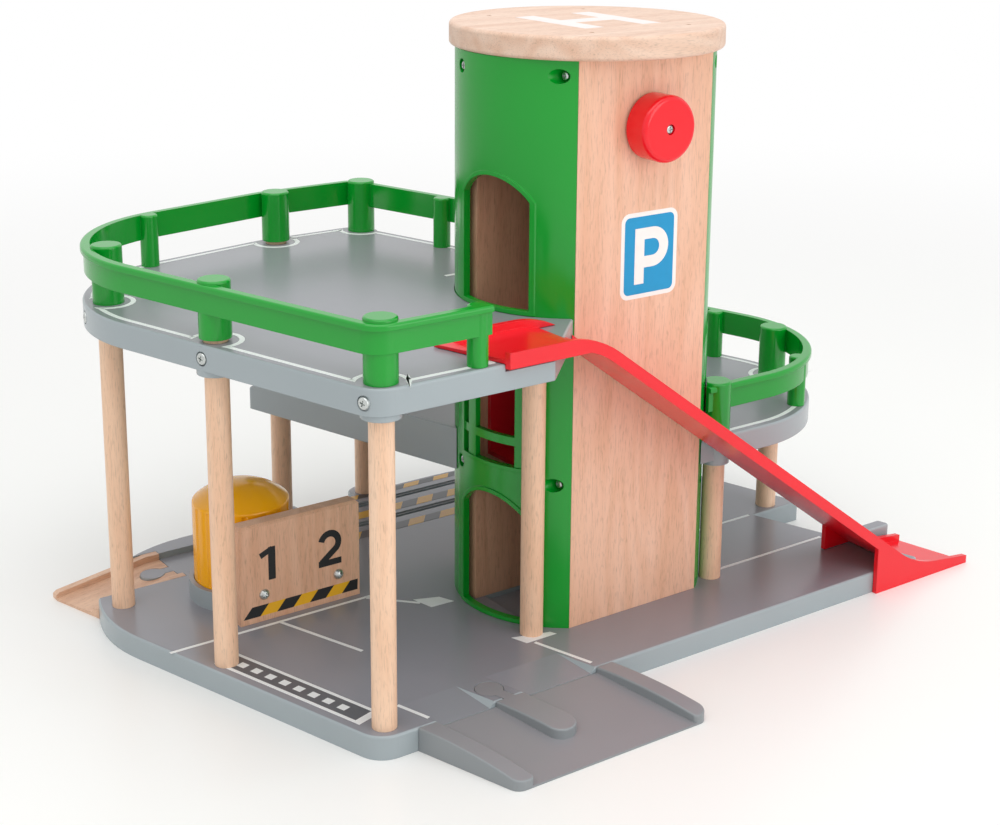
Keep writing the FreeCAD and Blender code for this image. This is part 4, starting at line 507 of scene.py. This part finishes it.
# Screws, nails, rods and pins: zinc plated steel, cold headed or drawn, bright with a faint grain.
zinc_steel, tree, shader, place = new_material("zinc_plated_steel")
grain = add(tree, "ShaderNodeTexNoise", {"Vector": place, "Scale": 900.0, "Detail": 2.0}).outputs["Fac"]
rough = add(tree, "ShaderNodeMapRange", {0: grain, 1: 0.3, 2: 0.7, 3: 0.24, 4: 0.40})
tree.links.new(rough.outputs[0], shader.inputs["Roughness"])
tone = add(tree, "ShaderNodeMapRange", {0: grain, 1: 0.3, 2: 0.7, 3: 0.90, 4: 1.04})
shade = add(tree, "ShaderNodeHueSaturation", {"Value": tone.outputs[0], "Color": linear("#C9CDCB")})
tree.links.new(shade.outputs[0], shader.inputs["Base Color"])
shader.inputs["Metallic"].default_value = 1.0
dress(zinc_steel, "guide_rods", "idler_pin", "knob_shaft", "knob_screw", "roof_nails",
      *[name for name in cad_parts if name.endswith("_screws")])

# Lift works: the carriage, both pulleys and the shaft's bushes are white acetal, slightly waxy; the
# belt is black rubber with a matt skin.
dress(glossy("white_acetal", "#E9E8E2", 0.35, 4.0),
      "lift_carriage", "drive_pulley", "idler_pulley", "shaft_bushes")
dress(glossy("black_belt_rubber", "#1B1B1C", 0.6, 2.0), "lift_belt")

# Studio: a white floor with a faint gloss that runs into white paper all round, one broad lamp
# above and one in front.
FLOOR_HALF = 6.0
FADE_FROM, FADE_TO = 0.42, 1.5
corner = FLOOR_HALF * np.array([(-1, -1, 0), (1, -1, 0), (1, 1, 0), (-1, 1, 0)])
floor_mesh = bpy.data.meshes.new("floor")
floor_mesh.from_pydata(corner.tolist(), [], [(0, 1, 2, 3)])
floor = bpy.data.objects.new("floor", floor_mesh)
bpy.context.scene.collection.objects.link(floor)
made, tree, shader, place = new_material("studio_floor")
floor_mesh.materials.append(made)
shader.inputs["Base Color"].default_value = linear("#F6F6F4")
shader.inputs["Roughness"].default_value = 0.35
away = add(tree, "ShaderNodeVectorMath", {0: place}, operation="LENGTH").outputs["Value"]
fade = add(tree, "ShaderNodeMapRange", {0: away, 1: FADE_FROM, 2: FADE_TO}, interpolation_type="SMOOTHSTEP")
seen = add(tree, "ShaderNodeLightPath").outputs["Is Camera Ray"]
paper = add(tree, "ShaderNodeMath", {0: fade.outputs[0], 1: seen}, operation="MULTIPLY")
white = add(tree, "ShaderNodeEmission", {"Color": (1, 1, 1, 1), "Strength": 1.0})
mixed = add(tree, "ShaderNodeMixShader", {0: paper.outputs[0], 1: shader.outputs[0], 2: white.outputs[0]})
tree.links.new(mixed.outputs[0], tree.nodes["Material Output"].inputs["Surface"])

WORLD_LEVEL = 0.75
world = bpy.data.worlds.new("studio")
bpy.context.scene.world = world
world.use_nodes = True
tree = world.node_tree
rays = add(tree, "ShaderNodeLightPath")
direct = add(tree, "ShaderNodeMath", {0: rays.outputs["Is Camera Ray"], 1: rays.outputs["Is Glossy Ray"]},
             operation="MAXIMUM")
level = add(tree, "ShaderNodeMapRange", {0: direct.outputs[0], 3: WORLD_LEVEL, 4: 1.0})
tree.links.new(level.outputs[0], tree.nodes["Background"].inputs["Strength"])
tree.nodes["Background"].inputs["Color"].default_value = (1, 1, 1, 1)


def softbox(name, place, aim, size, power):
    """A square area lamp at a place, turned to face a point."""
    lamp = bpy.data.lights.new(name, "AREA")
    lamp.size = size
    lamp.energy = power
    made = bpy.data.objects.new(name, lamp)
    bpy.context.scene.collection.objects.link(made)
    d = np.array(aim, float) - np.array(place, float)
    d /= np.linalg.norm(d)
    made.location = place
    made.rotation_euler = (math.acos(-d[2]), 0, math.atan2(d[1], d[0]) - math.pi / 2)


softbox("top_lamp", (-0.3, -0.3, 1.6), (0, 0, 0.1), 1.6, 12)
softbox("front_lamp", (0.5, -1.8, 0.7), (0, 0, 0.15), 1.2, 8)

# Camera: the photograph's own viewing angle, a little above the roof, with a lens shift that brings
# the uprights nearer to upright.
FILM_MM = 36
FOCAL_PX, PHOTO_PX = 1761, 1000
camera = bpy.data.cameras.new("camera")
viewer = bpy.data.objects.new("camera", camera)
bpy.context.scene.collection.objects.link(viewer)
bpy.context.scene.camera = viewer
camera.sensor_width = FILM_MM
camera.lens = FOCAL_PX / PHOTO_PX * FILM_MM
camera.shift_y = -0.15
viewer.location = (-0.5643, -0.7130, 0.42355)
turn, tip, roll = math.radians(35.493), math.radians(14.304), math.radians(-0.385)
viewer.rotation_euler = (math.pi / 2 - tip, roll, -turn)
bpy.context.scene.view_settings.view_transform = "Standard"
